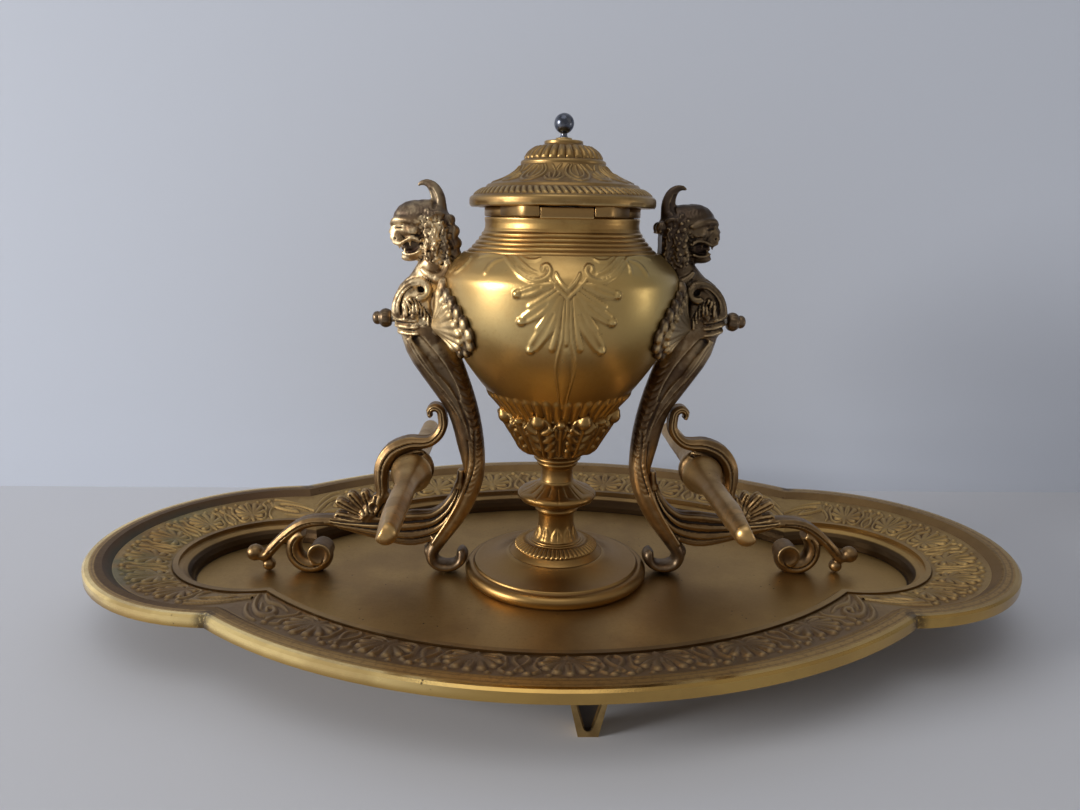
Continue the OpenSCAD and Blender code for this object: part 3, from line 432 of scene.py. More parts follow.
def border_lobe(bm, middle, radius, facing, units):
    """One lobe of the border, as a grid bent round its arc and raised by its ornament. It lies SKIN
    above the tray's own border, and its edges lap over by LAP and sink in."""
    verts = bmesh.ops.create_grid(bm, x_segments=460, y_segments=44, size=1)["verts"]
    uv = np.array([v.co[:2] for v in verts])
    inset = BORDER_IN - LAP + (BORDER_W + 2 * LAP) * (1 - uv[:, 1]) / 2
    depths = np.linspace(BORDER_IN - 0.5, BEAD_IN + 0.5, 37)
    halves = [half_angle(radius, depth) for depth in depths]
    angle = uv[:, 0] * np.interp(inset, depths, halves)
    mid_r = radius - BORDER_IN - BORDER_W / 2
    out = BEAD_IN - inset
    total = 2 * np.interp(BORDER_IN + BORDER_W / 2, depths, halves) * mid_r
    free = total - 2 * NOTCH_LEAF_LONG
    cell = (angle * mid_r + free / 2) / (free / units)
    inside = (cell > -0.02) & (cell < units + 0.02)
    across = (cell - np.floor(cell) - 0.5) * PITCH
    bold = [s * (1, 1, 1.2, 1.55) for s in border_motif()]
    leaves = [s * (1, 1, 1.5, 1.5) for s in notch_leaf()]
    from_notch = total / 2 - np.abs(angle) * (radius - inset)
    rise = np.maximum(np.where(inside, relief(across, out, bold), 0),
                      np.where(inside, 0, relief(from_notch, out, leaves)))
    slack = np.clip(np.minimum(out + LAP, inset - BORDER_IN + LAP) / 0.8, 0, 1)
    lift = SKIN + rise * slack
    lift[(out < -0.1) | (inset < BORDER_IN - 0.1)] = SUNK
    z = BORDER_Z - (BORDER_Z - BEAD_Z) * (inset - BORDER_IN) / BORDER_W
    direction = np.radians(facing) + angle
    ground = np.array(middle) + (radius - inset)[:, None] * np.column_stack(
        [np.cos(direction), np.sin(direction)])
    for v, (x, y), height in zip(verts, ground, z + lift):
        v.co = (x, y, height)


def tray_border():
    bm = bmesh.new()
    for middle, radius, facing, units in (
            ((SIDE_X, 0), SIDE_LOBE, 0, 6), ((-SIDE_X, 0), SIDE_LOBE, 180, 6),
            ((0, FRONT_Y), FRONT_LOBE, -90, 7), ((0, -FRONT_Y), FRONT_LOBE, 90, 7)):
        border_lobe(bm, middle, radius, facing, units)
    bmesh.ops.remove_doubles(bm, verts=bm.verts, dist=0.02)
    bmesh.ops.recalc_face_normals(bm, faces=bm.faces)
    f = aged_metal("cast border of the tray", (0.42, 0.275, 0.105), (0.27, 0.165, 0.068),
                   (0.08, 0.047, 0.032), (0.62, 0.43, 0.18), rough=0.4, blotch=18, pits=0.3,
                   recess=0.8, crest=0.55)
    # Darker towards the front, lighter on the crests
    front = f.y.rise(10, -60) * f.x.rise(130, 60) * 0.65
    green = f.x.rise(-112, -145) * f.noise(12).rise(0.42, 0.6) * 0.55
    bronze = f.tint(f.parts["high"], (0.13, 0.08, 0.05), (0.4, 0.26, 0.13))
    f.surface(Base_Color=f.coats(f.parts["colour"], (front, bronze), (green, VERDIGRIS)))
    piece = new_piece("tray_border", bm, f.material, "stand", "gilt_tray")
    mark_wear(piece, 0.36, 10)


tray_border()

# ---- Urn bowl ---------------------------------------------------------------------------------
# A thin spun shell, chased front and back with a hanging palmette between S-scrolls, and fluted
# where the leafy cup takes it. Satin gilt, pale on the shoulder and amber towards the foot.


def spun(line, steps, bored=True):
    """A shell turned from a line of radius and height, closed on itself or ended on the axis."""
    line = [tuple(p) for p in line] + ([tuple(line[0])] if bored else [])
    rows = len(line) - 1
    bm = bmesh.new()
    bmesh.ops.create_grid(bm, x_segments=steps, y_segments=rows, size=1)
    turns = [(math.cos(2 * math.pi * k / steps), math.sin(2 * math.pi * k / steps))
             for k in range(steps)]
    for v in bm.verts:
        r, z = line[round((v.co.y + 1) / 2 * rows)]
        c, n = turns[round((v.co.x + 1) / 2 * steps) % steps]
        v.co = (r * c, r * n, z)
    bmesh.ops.remove_doubles(bm, verts=bm.verts, dist=0.001)
    bmesh.ops.recalc_face_normals(bm, faces=bm.faces)
    return bm


def closer(line, step):
    """The same line with a point at least every step millimetres."""
    line = np.array(line, float)
    out = []
    for a, b in zip(line[:-1], line[1:]):
        count = max(1, math.ceil(np.hypot(*(b - a)) / step))
        out += [a + (b - a) * k / count for k in range(count)]
    return np.array(out + [line[-1]])


def chase(piece, line, drawn, crowd=0):
    """Raises the outer face of a spun piece by drawn(angle, height, radius), along its normals."""
    mesh = piece.data
    co = points_of(mesh)
    if crowd:
        angle = np.arctan2(co[:, 1], co[:, 0])
        angle = angle + crowd * np.sin(2 * angle)
        r = np.hypot(co[:, 0], co[:, 1])
        co[:, 0], co[:, 1] = r * np.cos(angle), r * np.sin(angle)
        move_points(mesh, co)
    r, z = np.hypot(co[:, 0], co[:, 1]), co[:, 2]
    line = np.array(line)
    order = np.argsort(line[:, 1], kind="stable")
    outer = r > np.interp(z, line[order, 1], line[order, 0]) - 0.25
    rise = np.where(outer, drawn(np.arctan2(co[:, 1], co[:, 0]), z, r), 0)
    move_points(mesh, co + normals_of(mesh) * rise[:, None])


def share_of(angle, count, shift=0):
    """Place in one of count like sectors, from -0.5 to 0.5 across it."""
    cell = angle * count / (2 * math.pi) + shift
    return cell - np.floor(cell) - 0.5


def folded(angle, radius, count, shift=0):
    """Distance round the piece from the middle of the nearest of count like places."""
    return share_of(angle, count, shift) * 2 * math.pi * radius / count


def round_top(u, wide=0.5):
    return np.sqrt(np.clip(1 - (u / wide) ** 2, 0, 1))


URN_FOOT, SHOULDER_Z, ROD_R = 51.5, 117, 2.1
BELLY_R, BELLY_Z, BOWL_WALL = 36.9, 106.7, 1.6
BOWL_LINE = [(6.2, 1.7), (10.9, 5.6), (15, 11.9), (18.9, 17.2), (25.8, 25.3), (32.3, 35.1),
             (36, 44.7), (BELLY_R, BELLY_Z - URN_FOOT), (36, 59.3), (33.4, 62.7), (30.45, 65.5)]
bowl_outer = smooth_line(BOWL_LINE, 10) + (0, URN_FOOT)
bowl_inner = smooth_line([(r - BOWL_WALL, z) for r, z in BOWL_LINE[1:]], 2) + (0, URN_FOOT)


def hanging_palmette():
    """The ornament as it is seen from the front, left half: a chevron, petals with ball tips,
    S-scrolls above, and one long bud that runs down to the flutes."""
    petals = [([(-3.4, 109.7), (-7.4, 108.7), (-10.6, 107.4), (-12.6, 106.8)], 1.7),
              ([(-2.8, 107.1), (-5.6, 104.2), (-8.6, 101.8), (-11.2, 100)], 2.15),
              ([(-2.1, 106), (-3.8, 101.6), (-6.4, 96.4), (-9, 92.2)], 2.4)]
    half = [stroke([(-4.9, 110.9), (-3.1, 108.8), (-0.8, 106.6), (0, 105.9)], 0.42, 0.5, (0.9, 0.9)),
            stroke([(-3.3, 112.4), (-2, 110.3), (0, 108.1)], 0.42, 0.55, (0.9, 0.9)),
            ball(-13.9, 106.6, 1.2, 0.95), ball(-12.6, 99.1, 1.25, 0.95), ball(-10, 90.9, 1.2, 0.95)]
    for line, wide in petals:
        half += [stroke(line, wide, 0.55, (0.3, 0.75)), stroke(line[1:], wide * 0.4, -0.3, (0.5, 0.9))]
    half += strokes(
        ([(-3.2, 108.4), (-6.6, 106), (-9.1, 104.3), (-10.4, 103.4)], 0.55, 0.4, (0.5, 1.3)),
        ([(-2.5, 106.4), (-4.6, 103.3), (-6.5, 99.8), (-8, 97.3)], 0.55, 0.4, (0.5, 1.4)),
        ([(-1.6, 105.4), (-2.2, 101.3), (-3, 96.2), (-3.9, 91.6)], 0.58, 0.4, (0.5, 1.6)),
        ([(-17.2, 116.4), (-15.2, 113.8), (-12.6, 111.5), (-9.4, 110.2), (-6.4, 110.9),
          (-4.9, 112.8), (-5.5, 114.3), (-6.7, 114.1), (-6.7, 113.1)], 0.85, 0.5, (0.5, 0.6)),
        ([(-15.8, 116.2), (-14, 113.9), (-11.9, 112.2), (-9.4, 111.2)], 0.4, 0.35, (0.5, 0.5)),
        ([(-14.2, 116.7), (-12.6, 115), (-10.3, 113.2), (-8, 112.3)], 0.55, 0.35, (0.4, 0.4)),
        ([(-12.6, 116.7), (-11.2, 115.8), (-8.9, 115.7), (-7.5, 116.3)], 0.45, 0.28, (0.5, 0.5)),
        ([(-17.6, 115.9), (-20.3, 114.9), (-22, 113.3), (-22.9, 111.9)], 0.6, 0.35, (0.5, 0.9)),
        ([(-17.6, 116.6), (-21.7, 116.7), (-25, 116)], 0.5, 0.28, (0.6, 0.6)),
        ([(-0.9, 105), (-1.1, 99), (-1.4, 94.3), (-2.3, 89.3), (-2.65, 85.1), (-2.2, 81.3),
          (-1.5, 77.3), (-1, 72.6)], 0.34, 0.36, (0.8, 0.7)))
    middle = [stroke([(0, 105.2), (0, 99), (0, 93)], 0.7, 0.3, (0.6, 0.8)),
              stroke([(0, 91), (0, 85.5), (0, 79.5), (0, 73.5)], 1.9, 0.28, (0.4, 0.4)),
              ball(0, 72.2, 1, 0.6)]
    return mirrored(half) + middle


def bowl_ornament(angle, z, r):
    seen = relief(r * np.cos(angle), z, hanging_palmette())
    cell = 2 * share_of(angle, 44)
    tongue = 0.85 * round_top(cell, 0.84) * np.clip(
        (74.2 - 1.4 * cell ** 2 - z) / 1.2, 0, 1) * np.clip((z - 62) / 2, 0, 1)
    side = folded(angle, r, 4, 0.25)
    shoulder = relief(np.abs(side), z, [
        stroke([(0.2, 113), (2.4, 111.2), (5, 112.6), (5.4, 115), (3.6, 115.6)],
               0.55, 0.45, (0.5, 0.6))])
    return np.maximum(np.maximum(seen, tongue), shoulder * (np.abs(np.cos(angle)) > 0.5))


def urn_finish(name, gold, brown, foot, recess, rough=0.27):
    """Satin gilding: paler on the shoulder, amber and browner towards the foot. Painted shade, partly
    patina, browns it under the neck, and painted shade darkens the upper right, away from the window.
    """
    f = aged_metal(name, gold, brown, (0.1, 0.055, 0.02), PALE_GOLD, rough=rough, blotch=30,
                   pits=0.35, recess=recess, crest=0.45)
    # Painted shade under the neck, partly patina
    neck_shade_and_patina = f.z.rise(101, 114) * f.noise(17, 2, shift=(8, 3, 1)).rise(0.3, 0.55)
    # Painted shade on the upper right, the side away from the window
    away = f.z.rise(78, 92) * f.x.rise(0, 26)
    f.surface(Base_Color=f.coats(
        # Amber towards the foot, then the painted shade under the neck and on the right, then patina in
        # the hollows
        f.parts["colour"], (f.z.rise(92, 70) * 0.75, foot), (neck_shade_and_patina * 0.6, brown),
        (away * 0.6, (0.44, 0.335, 0.125)), (f.parts["deep"] * 0.6, (0.1, 0.05, 0.015))))
    return f.material


URN_FINISH = urn_finish("satin gilding of the urn", (0.68, 0.49, 0.205), (0.54, 0.34, 0.12),
                        (0.46, 0.26, 0.07), 0.65)
inner_up = bowl_inner[bowl_inner[:, 1] > URN_FOOT + 5.2]
bowl_shell = np.vstack([[(ROD_R, URN_FOOT + 1.7)], closer(bowl_outer, 0.56), inner_up[::-1],
                        [(inner_up[0, 0] - 0.4, URN_FOOT + 4.6), (ROD_R, URN_FOOT + 4.6)]])
bowl = new_piece("urn_bowl", spun(bowl_shell, 464), URN_FINISH, "stand", "gilt_urn", "bowl")
chase(bowl, bowl_outer, bowl_ornament, crowd=0.2)
mark_wear(bowl, 0.36, 12)

# ---- Griffins ---------------------------------------------------------------------------------
# Two cast supports, each with a lion's head under a curled crest, a winged breast, a shell that
# clasps the urn and an S-shaped leg. Brown patina with the gold rubbed bright on the high points.

FLOOR_Z = 10
STUD_U, STUD_H = 5, 85.8
STUD_Z = FLOOR_Z + STUD_H
VOXEL = 0.34


def ring(bm, before, place, way, flat, wide, thick, sides):
    """One oval ring square to way, joined to the ring before it; returns its edges."""
    turn = Matrix((flat * wide, flat.cross(way) * thick, way)).transposed().to_4x4()
    turn.translation = place
    made = bmesh.ops.create_circle(bm, radius=1, segments=sides, matrix=turn)["verts"]
    loop = list(dict.fromkeys(e for v in made for e in v.link_edges))
    if before is None:
        bmesh.ops.edgeloop_fill(bm, edges=loop)
    else:
        bmesh.ops.bridge_loops(bm, edges=before + loop)
    return loop


def tube(bm, stations, sides=14):
    """A closed tube through stations of distance out from the urn, height over the floor, half
    width, half thickness and place sideways."""
    p = np.array([list(s) + [0] * (5 - len(s)) for s in stations], float)
    centres = np.column_stack([BELLY_R + p[:, 0], p[:, 4], FLOOR_Z + p[:, 1]])
    before = None
    for centre, way, (wide, thick) in zip(centres, np.gradient(centres, axis=0), p[:, 2:4]):
        way = Vector(way).normalized()
        flat = way.cross(Vector((0, 1, 0))).normalized()
        before = ring(bm, before, Vector(centre), way, flat, wide, thick, sides)
    bmesh.ops.edgeloop_fill(bm, edges=before)


def smooth_tube(bm, stations, sides=14):
    tube(bm, smooth_line([list(s) + [0] * (5 - len(s)) for s in stations], 3), sides)


def egg(bm, out, high, long, wide, thick, tilt=0, aside=0, sides=16):
    t = np.radians(np.arange(-80, 81, 20))
    a = math.radians(tilt)
    tube(bm, [(out + long * math.sin(k) * math.cos(a), high + long * math.sin(k) * math.sin(a),
               wide * math.cos(k), thick * math.cos(k), aside) for k in t], sides)


def both_sides(build, bm, stations, *rest, **more):
    """A piece of relief on the front and on the back of the casting."""
    for way in (1, -1):
        build(bm, [(*s[:4], way * s[4]) for s in stations], *rest, **more)


def griffin_leg(bm):
    smooth_tube(bm, [
        (5.8, STUD_H + 0.6, 8.6, 7.4), (4.4, STUD_H - 8.1, 8, 6.6), (-0.7, 67.6, 6.7, 6),
        (-5.6, 57.2, 5.1, 5.2), (-8.3, 45.4, 4.5, 4.8), (-9.3, 33.6, 3.4, 4.4), (-5, 22.2, 3.1, 4.2),
        (2.2, 11.7, 2.7, 4.2), (4.8, 7.2, 2.4, 4.2), (4.1, 3.7, 2.1, 4.2), (1, 2.1, 1.95, 4.2),
        (-2.4, 2.4, 1.8, 4.1), (-4.8, 4.2, 1.8, 3.9), (-5.4, 6.6, 2.1, 3.6), (-4.6, 8.3, 1.3, 2.8)], 18)
    both_sides(smooth_tube, bm, [
        (10.4, 80.5, 1.6, 2.2, 4.6), (6.6, 73.6, 1.5, 2.2, 4.6), (2.4, 67.2, 1.4, 2, 4.4),
        (-2, 60.6, 1.3, 1.9, 4), (-5.6, 54.4, 1.2, 1.7, 3.6), (-7.6, 49.6, 0.9, 1.2, 3.6)], 10)
    smooth_tube(bm, [(1, 63.6, 2.6, 3.4), (-3.4, 56.4, 2.2, 3.2), (-5.6, 50.4, 1.5, 2.6),
                     (-5.6, 47.4, 0.8, 1.6)], 12)
    both_sides(smooth_tube, bm, [
        (-8.6, 49, 0.9, 1.4, 3.7), (-9, 42, 0.9, 1.3, 3.7), (-8.2, 36, 0.9, 1.2, 3.5),
        (-5, 27, 0.8, 1.2, 3.4), (-1, 19.5, 0.7, 1.1, 3.4), (4.4, 11, 0.6, 1, 3.4)], 8)
    for out, high, tilt in ((6.3, 7.6, 90), (4.3, 12.6, 62), (0.4, 17.8, 52), (-3.6, 23.4, 50)):
        egg(bm, out, high, 2, 1.3, 3, tilt)


def griffin_bust(bm):
    """Breast, neck and skull."""
    egg(bm, 7.6, STUD_H + 2.8, 11.3, 8.6, 7.4, 93)
    smooth_tube(bm, [(5.6, 94.8, 7, 6.2), (3.6, 100.5, 5.2, 5), (1.6, 105.8, 4.9, 4.8),
                     (1.7, 111.8, 5.6, 5.4), (4, 116.6, 5.8, 5.2), (8, 118, 4.4, 4.4)], 18)
    egg(bm, 7.2, 115.6, 8.2, 6.6, 6, 12)


def griffin_face(bm):
    """Muzzle, lower jaw, lips, fangs, brows and tongue."""
    smooth_tube(bm, [(8, 113.6, 4.6, 4.8), (12.4, 113.2, 3.5, 3.9), (14.6, 112.2, 2.7, 3.1),
                     (16, 111.6, 1.5, 2)], 14)
    both_sides(tube, bm, [(12.2, 110.9, 1, 1, 1.6), (13.4, 110.8, 1.9, 1.6, 1.7),
                          (14.7, 110.9, 1.9, 1.6, 1.6), (15.9, 111.2, 1, 0.9, 1.2)], 10)
    smooth_tube(bm, [(14.2, 114.8, 1, 1.7), (15.4, 113.2, 1, 1.6), (16.2, 111.9, 0.9, 1.3)], 8)
    smooth_tube(bm, [(4.8, 107.4, 2.3, 3.8), (8.2, 105.5, 1.6, 3.2), (11, 104.8, 1.3, 2.6),
                     (12.8, 105.1, 1, 1.7)], 12)
    for lip in ([(15.2, 109.3, 0.6, 0.7, 2), (12.9, 109, 0.7, 0.8, 2.9), (10.8, 110.2, 0.6, 0.8, 3.7),
                 (8.4, 110.8, 0.6, 0.8, 4.3), (6.2, 109.8, 0.6, 0.8, 4.6)],
                [(12.6, 106.3, 0.5, 0.6, 1.6), (10.8, 105.8, 0.5, 0.6, 2.6), (8.6, 106, 0.5, 0.6, 3.5),
                 (6.6, 107, 0.5, 0.7, 4.2)]):
        both_sides(smooth_tube, bm, lip, 8)
    for out, high, aside in ((13.2, 108, 2.3), (11.6, 106.9, 2.1), (9.9, 108.9, 3.1)):
        both_sides(tube, bm, [(out, high + 0.9, 0.5, 0.5, aside), (out, high, 0.45, 0.45, aside),
                              (out - 0.1, high - 0.8, 0.2, 0.2, aside)], 6)
    both_sides(smooth_tube, bm, [
        (15.7, 114.6, 0.7, 0.8, 1), (14.4, 115.9, 1.15, 1.2, 2.7), (11.8, 116.2, 1.25, 1.4, 4.3),
        (9.2, 115.8, 1.1, 1.3, 5.2), (7, 114.9, 0.8, 1, 5.5)], 8)
    smooth_tube(bm, [(5, 108.8, 1.9, 2.2), (8.6, 108.6, 2.1, 1.7), (11.4, 108.2, 1.8, 1.2),
                     (13, 108.2, 1, 0.8)], 10)


def griffin_curls(bm):
    """Round curls of the mane at the cheek and behind the neck."""
    for out, high, size, aside in (
            (4.2, 114.4, 1.7, 4.9), (2.6, 112, 1.7, 5), (3.9, 109.6, 1.4, 4.7),
            (2.2, 107.4, 1.5, 4.7), (4, 105.4, 1.2, 4.4), (-2, 116.4, 1.8, 2.4),
            (-3.2, 113, 2, 2.2), (-3.8, 109.3, 2, 2), (-4, 105.9, 1.7, 1.9)):
        for way in (1, -1):
            egg(bm, out, high, size, size, size * 0.85, 70, way * aside, 10)


def griffin_eyes(bm):
    """Round eyes and broad cheekbones."""
    both_sides(tube, bm, [(11, 114.4, 0.3, 0.3, 3.6), (11.5, 114.5, 0.9, 0.9, 3.7),
                          (12.3, 114.6, 0.9, 0.9, 3.6), (12.9, 114.6, 0.3, 0.3, 3.4)], 8)
    both_sides(tube, bm, [(6.2, 113.4, 0.7, 0.7, 4.4), (7.6, 113.4, 1.9, 1.6, 4.4),
                          (9.7, 113, 1.8, 1.5, 4.2), (11.2, 112.5, 0.7, 0.7, 3.8)], 10)


def griffin_locks(bm):
    """The curled crest and the long locks of the mane."""
    smooth_tube(bm, [(1.6, 117.6, 3.6, 3.4), (1.2, 120.4, 2.5, 2.2), (1.5, 123.4, 2.2, 1.7),
                     (2.8, 126, 1.8, 1.3), (4.7, 127.3, 1.2, 0.9), (6.5, 127.2, 0.75, 0.6),
                     (7.5, 126.4, 0.35, 0.35)], 12)
    for run, wide in (
            ([(6.6, 114, 4.9), (4.4, 115.2, 5.3), (2.4, 114, 5.2), (1.4, 111.2, 5.2),
              (2.2, 108.6, 4.9), (2.4, 106.4, 4.6), (1.4, 104.4, 4.4)], 0.95),
            ([(5.6, 113, 5), (4.2, 111.2, 5.1), (4.4, 108.8, 4.9), (4.8, 106.6, 4.5),
              (4, 104.6, 4.4), (2.8, 103.4, 4.4)], 0.85),
            ([(0.6, 115.8, 4.6), (-0.6, 113, 4.6), (-1, 110, 4.4), (-1.8, 107, 4),
              (-1.4, 104.4, 3.8)], 0.95),
            ([(-1.6, 117, 3), (-3, 113.8, 2.8), (-3.4, 110.2, 2.6), (-4.2, 107, 2.2),
              (-3.4, 103.6, 2)], 1),
            ([(4.8, 119.4, 4.2), (3, 118, 4.8), (1, 118.4, 4.4), (-0.6, 117.6, 3.8)], 0.8),
            ([(6.6, 118.6, 4.2), (5.2, 117.2, 5), (3.2, 116.4, 5.2)], 0.7)):
        both_sides(smooth_tube, bm, [(u, h, wide, 0.9, y) for u, h, y in run], 8)


def griffin_wings(bm):
    """A curl at the throat and, on each flank, a wing that rolls over into a scroll."""
    for sides, run in (
            (10, [(6.4, 101.6, 0.7, 0.9, 4.4), (4.2, 99.9, 1.2, 1.3, 5.2), (1.5, 98.9, 1.6, 1.5, 5.7),
                  (-1, 99.9, 1.8, 1.6, 5.6), (-2, 102.2, 1.6, 1.4, 5.2), (-1.4, 104.4, 1.1, 1.1, 4.8)]),
            (14, [(14.1, 86.6, 1.9, 1.6, 4), (13.7, 90.4, 2, 1.7, 4.6), (12.5, 93.6, 1.9, 1.7, 5),
                  (10.5, 96.1, 1.7, 1.7, 5.4), (8, 97.5, 1.6, 1.6, 5.8), (5.6, 97.2, 1.5, 1.5, 6.2),
                  (4.1, 95.7, 1.25, 1.4, 6.6), (4.6, 93.8, 1.1, 1.3, 7), (6.4, 92.8, 1.2, 1.4, 7.4),
                  (7.6, 93.4, 1, 1.1, 7.4)]),
            (10, [(11.3, 86.2, 1.1, 1.3, 6.2), (10.6, 90, 1.1, 1.3, 6.6), (9.2, 93, 0.8, 1.1, 6.9)]),
            (8, [(8.8, 86.4, 1.2, 1.3, 6.9), (8.4, 88.8, 1.2, 1.3, 7.2), (7.2, 90.6, 0.9, 1, 7.4)])):
        both_sides(smooth_tube, bm, run, sides)


def lean_back(bm, degrees):
    """Turns the bust about the stud towards the urn."""
    bmesh.ops.rotate(bm, cent=(BELLY_R + STUD_U, 0, STUD_Z), verts=bm.verts,
                     matrix=Matrix.Rotation(math.radians(-degrees), 3, "Y"))


def urn_radius(z):
    return np.interp(z, bowl_outer[:, 1], bowl_outer[:, 0])


FAN_ARC, FAN_H = 8, 84
FAN_TIPS = ((9.8, 94.6, 1.9), (13.8, 92.8, 1.5), (16.9, 91, 1.5), (19.6, 88.9, 1.5),
            (21.6, 86.4, 1.5), (22.4, 83.8, 1.45), (21, 81.2, 1.4), (17, 79, 1.3), (11, 77.8, 1.3))


def shell_fan(bm):
    """Petals that spread from the flank of the breast over the urn, on a plain dark backing."""
    for way in (1, -1):
        for arc, high, wide in FAN_TIPS:
            for grow, stand, thick, reach in ((1, 1.8, 1.25, 1), (1.9, 0.3, 1, 1.16)):
                run = []
                for share in np.linspace(0.02, reach, 9):
                    far, h = FAN_ARC + (arc - FAN_ARC) * share, FAN_H + (high - FAN_H) * share
                    r = urn_radius(h + FLOOR_Z) + stand + 2.8 * max(1 - share, 0) ** 2
                    run.append((r * math.cos(far / r) - BELLY_R, h, wide * grow * (
                        0.25 + 0.75 * min(share, 1) ** 0.8), thick, way * r * math.sin(far / r)))
                rib(bm, run)


def rib(bm, stations):
    """One rib of the shell: a flat tube whose rings stand square to the urn."""
    before = None
    places = [Vector((BELLY_R + u, y, FLOOR_Z + h)) for u, h, _, _, y in stations]
    for k, (place, (_, _, wide, thick, _)) in enumerate(zip(places, stations)):
        way = (places[min(k + 1, len(places) - 1)] - places[max(k - 1, 0)]).normalized()
        outward = Vector((place.x, place.y, 0)).normalized()
        before = ring(bm, before, place, way, way.cross(outward).normalized(), wide, thick, 12)
    bmesh.ops.edgeloop_fill(bm, edges=before)
    bmesh.ops.create_uvsphere(bm, u_segments=10, v_segments=6, radius=stations[-1][2],
                              matrix=Matrix.Translation(places[-1]) @ Matrix.Diagonal(
                                  (0.6, 0.9, 0.9, 1)))


def fused(name, bm, soften):
    """The closed forms of a casting as one skin, a little softened as by wax and file."""
    bmesh.ops.recalc_face_normals(bm, faces=bm.faces)
    block = placed(name + "_wax", mesh_of(name, bm))
    remesh = block.modifiers.new("skin", "REMESH")
    remesh.mode, remesh.voxel_size = "VOXEL", VOXEL * MM
    mesh = bpy.data.meshes.new_from_object(
        block.evaluated_get(bpy.context.evaluated_depsgraph_get()))
    bpy.data.objects.remove(block)
    move_points(mesh, eased(points_of(mesh), neighbours_of(mesh), soften))
    mesh.name = name
    return mesh


MOULDING_R, MOULDING_TOP, SKIN_GAP = 30.8, 123.2, 0.12
BUST_LOW, LEG_TOP, FAN_STAND, FAN_IN = 80.6, 81, 4.6, 7.6


def clear_of_urn(co):
    """Points inside the urn's own form move out to it, so that the casting lies on its wall."""
    r = np.hypot(co[:, 0], co[:, 1])
    wall = np.interp(co[:, 2], bowl_outer[:, 1], bowl_outer[:, 0], right=MOULDING_R) + SKIN_GAP
    near = (r < wall) & (co[:, 2] > URN_FOOT + 1.7) & (co[:, 2] < MOULDING_TOP)
    co[near, :2] *= (wall / r)[near, None]
    return co


def leg_chasing():
    """Grooves and ridges of the leg: a fluted leaf down its outer edge, feathers and scales."""
    lines = strokes(
        ([(8, 80.4), (4.1, 75.6), (0.7, 70.6), (-2.8, 65.4), (-5, 60.6)], 1.9, -1.1, (0.8, 0.3)),
        ([(11.6, 79.6), (8.6, 74.4), (5.2, 69.3), (1.1, 63.9), (-3.2, 58.4)], 0.4, -0.5, (0.7, 0.5)),
        ([(9.6, 78.4), (6.6, 73.2), (3.2, 68.6)], 0.35, -0.45, (0.7, 0.5)),
        ([(2.6, 66.4), (-1, 62), (-4.4, 56.6), (-6.4, 52)], 0.4, -0.5, (0.6, 0.5)),
        ([(-4.8, 60), (-7.4, 53.4), (-8.6, 47)], 0.6, -0.6, (0.7, 0.5)),
        ([(-9.9, 50), (-10, 43), (-9.4, 37), (-6.6, 28.6)], 0.5, -0.6, (0.6, 0.5)),
        ([(-7.6, 47), (-7.7, 42), (-7, 36.6), (-4, 27.6)], 0.45, -0.6, (0.6, 0.5)))
    for k in range(13):
        t = k / 12
        out, high = -4.6 - 6.6 * t ** 0.7, 73 - 30 * t
        lines.append(stroke([(out - 2.4, high - 0.6), (out, high - 1.9), (out + 2.4, high - 0.2)],
                            0.32, -0.34, (0.4, 0.4)))
        lines.append(stroke([(out - 1.2, high + 1), (out - 0.3, high - 0.8)], 0.25, 0.2, (0.5, 0.5)))
    for k in range(9):
        t = k / 8
        out, high = -10.6 + 3.4 * t ** 1.6, 46 - 16 * t
        lines.append(stroke([(out - 1.8, high), (out - 0.4, high - 1.3), (out + 1.2, high - 0.2)],
                            0.3, -0.32, (0.4, 0.4)))
    return lines


def breast_chasing():
    """Three ridges of the harness, the lines of the wing's scroll, its feathers and its scales."""
    lines = [stroke([(16.8, h), (13, h - 0.2), (9.8, h - 0.4), (7.6, h - 0.2)], 0.75, 0.7, (0.8, 0.6))
             for h in (86.2, 84, 81.9)]
    lines += [stroke([(16.8, h), (12.6, h), (8.4, h - 0.2)], 0.35, -0.5, (0.8, 0.6)) for h in (85.1, 82.9)]
    lines += strokes(
        ([(12.8, 87.4), (12.6, 91), (11.2, 94), (9, 95.9)], 0.5, -0.9, (0.6, 0.5)),
        ([(14.4, 88.4), (13.9, 91.6), (12.2, 94.6), (9.8, 96.8), (7.4, 97.2)], 0.25, -0.3),
        ([(16, 90), (14.9, 93.4), (12.6, 96.8), (9.6, 98.6), (6.6, 98.9)], 0.25, -0.3),
        ([(6.2, 95.3), (6.7, 95.4)], 0.9, -1.4),
        ([(0.6, 94.6), (-0.2, 92), (0.4, 89.4), (1.8, 87.6)], 0.35, -0.45, (0.6, 0.6)),
        ([(2.6, 94.4), (3.4, 91.4), (3, 88.2)], 0.35, -0.45, (0.6, 0.6)),
        ([(1.4, 93.6), (1.6, 90.8), (1.9, 88.6)], 0.22, -0.3, (0.6, 0.6)))
    for k in range(7):
        high = 92.6 - 0.25 * (k - 2) ** 2
        for out, wide, rise in ((11.8 - 1.1 * k, 0.5, 0.6), (11.2 - 1.1 * k, 0.25, -0.6)):
            lines.append(stroke([(out, high), (out - 0.9, high - 2), (out - 1, high - 4.2)],
                                wide, rise, (0.5, 0.7)))
    for row in range(4):
        for k in range(4):
            out, high = 10.4 - 1.5 * k - 0.7 * (row % 2), 90 - 1.8 * row
            lines.append(stroke([(out - 0.8, high + 0.5), (out, high - 0.4), (out + 0.8, high + 0.5)],
                                0.22, -0.25, (0.5, 0.5)))
    return lines


